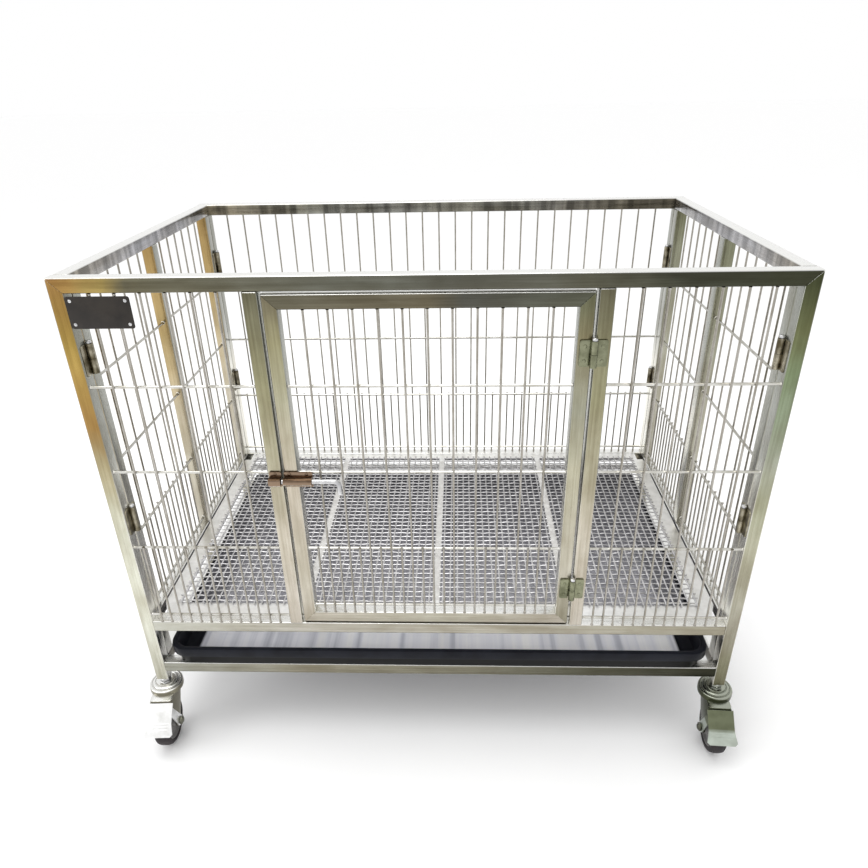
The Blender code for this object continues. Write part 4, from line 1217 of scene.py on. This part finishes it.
for node, body, word, barrel, rivet_shares in (
    ("latch_guide", "door", "sleeve", sleeve, (-0.3, 0.3)),
    ("latch_keeper", "frame", "staple", staple, (0,)),
):
    low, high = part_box(node)
    length, half_tall = high.x - low.x, (high.z - low.z) / 2
    centre_x, centre_z = (low.x + high.x) / 2, (low.z + high.z) / 2
    base = plate(rounded(length / 2, half_tall, 0.002), leaf_thickness, leaf_edge)
    shapes = [moved(base, *facing_front, (centre_x, high.y, centre_z))]
    shapes.append(moved(barrel(length / 2), *lying_across, (centre_x, bolt_y, bolt_z)))
    for share in rivet_shares:
        for rise in (-latch_rivet_rise, latch_rivet_rise):
            spot = (centre_x + share * length, high.y - leaf_thickness, centre_z + rise)
            shapes.append(moved(rivet, *facing_front, spot))
    piece(f"{node}_{word}", joined(*shapes), latch_steel, body, node)
print("The bolt runs in a sleeve and a staple")

# %% [markdown]
# ## Bolt
#
# The bolt is one round bar whose end is bent down for a handle. Its middle line is straight, then a
# quarter circle, then straight again, and the first and last circles are smaller, like a filed end.

# %% Bolt
bolt_bend, bolt_tip, filed = 0.007, 0.0008, 0.6
long_run, near_bend = 0.02, 0.001


def swept(path, radius, sideways, sides=16):
    """A round bar along a flat path. sideways is the direction that the path's plane faces."""
    path = np.asarray(path, float)
    along = np.gradient(path, axis=0)
    along /= np.linalg.norm(along, axis=1, keepdims=True)
    u = np.broadcast_to(np.asarray(sideways, float), path.shape)
    girth = np.full(len(path), radius)
    girth[[0, -1]] *= filed
    return round_bars(path[None], girth, u, np.cross(along, u), sides)


end_x = bolt_high.x - bolt_radius
bend_x, bend_z = end_x - bolt_bend, bolt_z - bolt_bend
straight = (bolt_low.x, bolt_low.x + bolt_tip, bolt_low.x + long_run, bend_x - near_bend)
bolt_path = [(x, bolt_y, bolt_z) for x in straight]
bolt_path += [(x, bolt_y, z) for x, z in arc((bend_x, bend_z), bolt_bend, 90, 0, 8)]
bolt_path += [(end_x, bolt_y, z) for z in (bolt_low.z + bolt_tip, bolt_low.z)]
piece("latch_bolt_rod", swept(bolt_path, bolt_radius, (0, 1, 0)), zinc, "bolt", "latch_bolt")
print("The bolt is", round(1000 * (bolt_high.x - bolt_low.x), 1), "mm long")

# %% [markdown]
# ## Name plate
#
# The plate is bare: a charcoal plate with round corners, held by four small bright screws with domed,
# dished heads. It is a rounded outline made thick, and the screws are turned profiles.

# %% Name plate
screw_proud = 0.0008
screw_inset = 0.0055


def dull(name, light, dark, roughness, grain, depth):
    """Rubber, plastic or lacquer: two close colours and a fine grain."""
    finish = Finish(name, 0.0, roughness, 0.3)
    finish.wear(finish.clouds(45, dark, light))
    finish.roughen(finish.ranged(finish.noise(grain), roughness + 0.06, roughness - 0.06))
    finish.bump(finish.noise(grain), depth)
    return finish.material


plate_black = dull("charcoal name plate", (46, 41, 36), (34, 30, 27), 0.42, 600, 0.00002)
plate_low, plate_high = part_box("name_plate")
centre = (plate_low + plate_high) / 2
half_x, half_z = (plate_high.x - plate_low.x) / 2, (plate_high.z - plate_low.z) / 2
blank = plate(rounded(half_x, half_z, 0.003, 6), plate_high.y - plate_low.y - screw_proud, leaf_edge)
blank = moved(blank, *facing_front, (centre.x, plate_high.y, centre.z))
piece("name_plate_blank", blank, plate_black, "frame", "name_plate")
screw = turned([
    (0.0021, 0), (0.0020, 0.0004), (0.0014, 0.0007), (0.0009, 0.0007), (0.0006, 0.0003), (0.0001, 0.0003),
], 16)
screws = []
for x in (screw_inset - half_x, half_x - screw_inset):
    for z in (screw_inset - half_z, half_z - screw_inset):
        screws.append(moved(screw, *facing_front, (centre.x + x, plate_low.y + screw_proud, centre.z + z)))
piece("name_plate_screws", joined(*screws), zinc, "frame", "name_plate")
print("The name plate is", round(2000 * half_x), "by", round(2000 * half_z), "mm and bare")

# %% [markdown]
# ## Wheels
#
# Each wheel is a rubber tyre with a crowned tread on a grey hub with a thin web. Both are turned from
# profiles whose second half mirrors the first. A caster's pieces are made once, about its swivel axis.

# %% Wheels
rubber = dull("black tyre rubber", (45, 38, 40), (31, 27, 29), 0.6, 500, 0.00008)
hub_plastic = dull("grey hub", (118, 116, 114), (96, 95, 94), 0.4, 300, 0.00004)
wheel_radius, wheel_half, hub_half = 0.0375, 0.0115, 0.0145
trail = 0.026
wheel_place = (trail, 0, wheel_radius)

tread = [(0.0285, -wheel_half), (0.0335, -wheel_half), (0.0362, -0.0090), (0.0373, -0.0045)]
tyre = turned(softened(mirrored(tread, (wheel_radius, 0)), 0.0008, True), 72, True)
web = [
    (0.0043, -hub_half), (0.0095, -hub_half), (0.0105, -0.0085), (0.0235, -0.0070), (0.0262, -0.0105),
    (0.0284, -0.0105),
]
hub = turned(softened(mirrored(web), 0.0006, True), 48, True)
tyre_shape, hub_shape = (moved(shape, *facing_front, wheel_place) for shape in (tyre, hub))
print("Wheels are", round(2000 * wheel_radius), "mm high")

# %% [markdown]
# ## Forks
#
# A fork is a pressed crown with two legs, under a ball race of stacked steel rings. The race is turned,
# and the crown and legs are plates. A hexagon bolt goes through legs and wheel, and the stem above the
# race ends in a hexagon too.

# %% Fork, axle bolt and stem
head_top, crown_low = 0.1037, 0.0872
crown_thickness, leg_thickness = 0.0035, 0.0025
leg_top, leg_front, leg_back, leg_end = 0.0885, -0.013, 0.035, 0.009
leg_inside = hub_half + gap
leg_outside = leg_inside + leg_thickness
nut_radius, nut_height, nut_stand = 0.0068, 0.0034, 0.0026
axle_radius, axle_half = 0.0040, 0.0202
stem_radius, stem_edge, stem_top = 0.0050, 0.0004, head_top + 0.001
stem_nut_radius, stem_nut_height = 0.0084, 0.0077

race = turned(softened([
    (0.0054, 0.0868), (0.0225, 0.0868), (0.0252, 0.0880), (0.0258, 0.0900), (0.0258, 0.0975),
    (0.0250, 0.0990), (0.0222, 0.0996), (0.0216, 0.0990), (0.0206, 0.0990), (0.0200, 0.1008),
    (0.0166, 0.1020), (0.0160, 0.1014), (0.0150, 0.1014), (0.0144, head_top), (0.0054, head_top),
], 0.0007, True), 56, True)
crown = plate(rounded(0.0279, leg_outside, 0.005, 5) + (0.0071, 0), crown_thickness)
leg_foot = arc((trail, wheel_radius), leg_end, 205, 360, 12)
leg = plate([(leg_front, leg_top), *leg_foot, (leg_back, leg_top)], leg_thickness, 0.0005)
nut_dome = turned([(0.0048, 0.0030), (0.0046, 0.0040), (0.0034, 0.0050), (0.0001, 0.0054)], 24)
nut = joined(plate(arc((0, 0), nut_radius, 30, 330, 5), nut_height, 0.0005), nut_dome)
fork_parts, bolt_parts = [race, moved(crown, *as_made, (0, 0, crown_low))], []
for side in (-1, 1):
    outwards = ((1, 0, 0), (0, 0, 1), (0, side, 0))
    fork_parts.append(moved(leg, *outwards, (0, side * leg_inside, 0)))
    nut_place = (trail, side * (leg_outside + nut_stand), wheel_radius)
    bolt_parts.append(moved(nut, *outwards, nut_place))
axle = turned(mirrored([(0.0001, -axle_half), (axle_radius, -axle_half)]), 24)
bolt_parts.append(moved(axle, *facing_front, wheel_place))
fork_shape, bolt_shape = joined(*fork_parts), joined(*bolt_parts)

stem_rod = turned([
    (0.0001, crown_low), (stem_radius - stem_edge, crown_low), (stem_radius, crown_low + 0.0005),
    (stem_radius, stem_top), (0.0001, stem_top),
], 24)
stem_nut = plate(arc((0, 0), stem_nut_radius, 0, 300, 5), stem_nut_height, 0.0006)
stem_shape = joined(moved(stem_nut, *as_made, (0, 0, head_top + gap)), stem_rod)
print("The legs stand", round(2000 * leg_inside, 1), "mm apart")

# %% [markdown]
# ## Brake pedals
#
# A pedal is one pressing: two ears on the axle and a pad between them, creased across and flared below
# the crease, with three ribs for the toe. The pad lies along the line from its top to its tip.

# %% Brake pedal
pedal_thickness, ear_radius, ear_length = 0.002, 0.0085, 0.0136
pad_top, pad_flare, chamfer, crease_share = -0.007, 0.003, 0.004, 0.55
rib_half_width, rib_half_length, rib_height, rib_step = 0.0011, 0.0165, 0.0008, 0.0045
pedal_top, pedal_tip = np.array([0.014, 0.044]), np.array([0.045, 0.013])
reach = np.linalg.norm(pedal_tip - pedal_top)
down = (pedal_tip - pedal_top) / reach
ear_end = pedal_top + down * ear_length
first, last = (math.degrees(math.atan2(y, x)) for x, y in (pedal_top, ear_end))
ear_outline = [*arc((0, 0), ear_radius, first + 90, last + 270, 14), tuple(ear_end), tuple(pedal_top)]
ear = plate(ear_outline, pedal_thickness)
ear_inside = leg_outside + gap
narrow = ear_inside + pedal_thickness
wide, crease = narrow + pad_flare, crease_share * reach
pad_right = [(pad_top, -narrow), (crease, -narrow), (reach - chamfer, -wide), (reach, chamfer - wide)]
pad_outline = [*pad_right, *[(x, -y) for x, y in reversed(pad_right)]]
across = np.array([down[0], 0, down[1]])
out = np.cross(across, [0, 1, 0])
pad_place = np.array([pedal_top[0], 0, pedal_top[1]])
half_skin = pedal_thickness / 2 * out
pad = plate(pad_outline, pedal_thickness, 0.0005)
pedal_parts = [moved(pad, across, (0, 1, 0), out, pad_place - half_skin)]
for side in (-1, 1):
    pedal_parts.append(moved(ear, (1, 0, 0), (0, 0, 1), (0, side, 0), (0, side * ear_inside, 0)))
rib = plate(rounded(rib_half_width, rib_half_length, 0.001, 3), rib_height)
for count in range(3):
    rib_place = pad_place + half_skin + (crease + count * rib_step) * across
    pedal_parts.append(moved(rib, across, (0, 1, 0), out, rib_place))
pedal_shape = moved(joined(*pedal_parts), *as_made, wheel_place)
print("The pedal is", round(1000 * (reach - pad_top)), "mm long")

# %% [markdown]
# ## Steel of the casters
#
# The left casters mirror a bright window and the right ones a dark garden, so each side has its own
# shades of the same plating. A pedal's two halves mirror two things, and change shade at the crease.

# %% Caster finishes
crease_low, crease_high = 0.0640, 0.0680


def pedal_finish(name, lower, upper):
    """Plated steel that changes its shade at the height of the crease, in soft clouds."""
    finish = Finish(name, 1.0, 0.34)
    share = finish.ranged(finish.parts(finish.place)[2], 0, 1, crease_low, crease_high)
    clouds = finish.clouds(70, (232, 232, 230), (255, 255, 255))
    finish.wear(finish.times(finish.ramp(share, (0, lower), (1, upper)), clouds))
    finish.bump(finish.noise(300), 0.00003)
    return finish.material


bolt_steel = plain_metal("dark axle bolts", (112, 112, 100), (72, 72, 62), 0.3)
caster_steels = {
    "left": (
        faced("zinc of the left casters", (90, 88, 78), (132, 128, 112), (232, 232, 229)),
        pedal_finish("zinc of the left pedals", (255, 255, 255), (246, 246, 245)),
    ),
    "right": (
        faced("zinc of the right casters", (38, 40, 29), (74, 77, 59), (160, 164, 151)),
        pedal_finish("zinc of the right pedals", (190, 198, 188), (112, 117, 94)),
    ),
}
print("The casters have", 2 * len(caster_steels) + 1, "finishes of plated steel")

# %% [markdown]
# ## Four casters
#
# The four casters are copies of these pieces, turned to the heading that the photo shows and placed
# under the corner posts. The stem belongs to the frame, the fork swivels, and wheel and pedal turn on it.

# %% Four casters
heading = math.radians(-3)
for rear, end in both_ends:
    for side, word in both_sides:
        corner = f"{end}_{word}"
        ahead = np.array([side * math.sin(heading), rear * math.cos(heading), 0])
        turned_to = (ahead, np.cross([0, 0, 1], ahead), (0, 0, 1))
        place = (side * (half_width - tube / 2), rear * (half_depth - tube / 2), 0)
        fork_steel, pedal_steel = caster_steels[word]
        for shape, name, finish, body, slot, node in (
            (stem_shape, "stem_nut", zinc, "frame", "zinc", "caster_stem"),
            (fork_shape, "fork_pressing", fork_steel, f"caster_{corner}", "zinc", "caster_fork"),
            (bolt_shape, "axle_bolt", bolt_steel, f"caster_{corner}", "zinc", "caster_fork"),
            (tyre_shape, "tyre", rubber, f"wheel_{corner}", "tyre", "caster_wheel"),
            (hub_shape, "hub", hub_plastic, f"wheel_{corner}", "tyre", "caster_wheel"),
            (pedal_shape, "pedal_pressing", pedal_steel, f"pedal_{corner}", "zinc", "caster_pedal"),
        ):
            placed = moved(shape, *turned_to, place)
            piece(f"{name}_{corner}", placed, finish, body, f"{node}_{corner}")
print("Four casters are placed")

# %% [markdown]
# ## Size of the looks
#
# The looks are meant to stay inside the box of the solid model, and the box round them is measured here.

bpy.context.view_layer.update()
low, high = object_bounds()
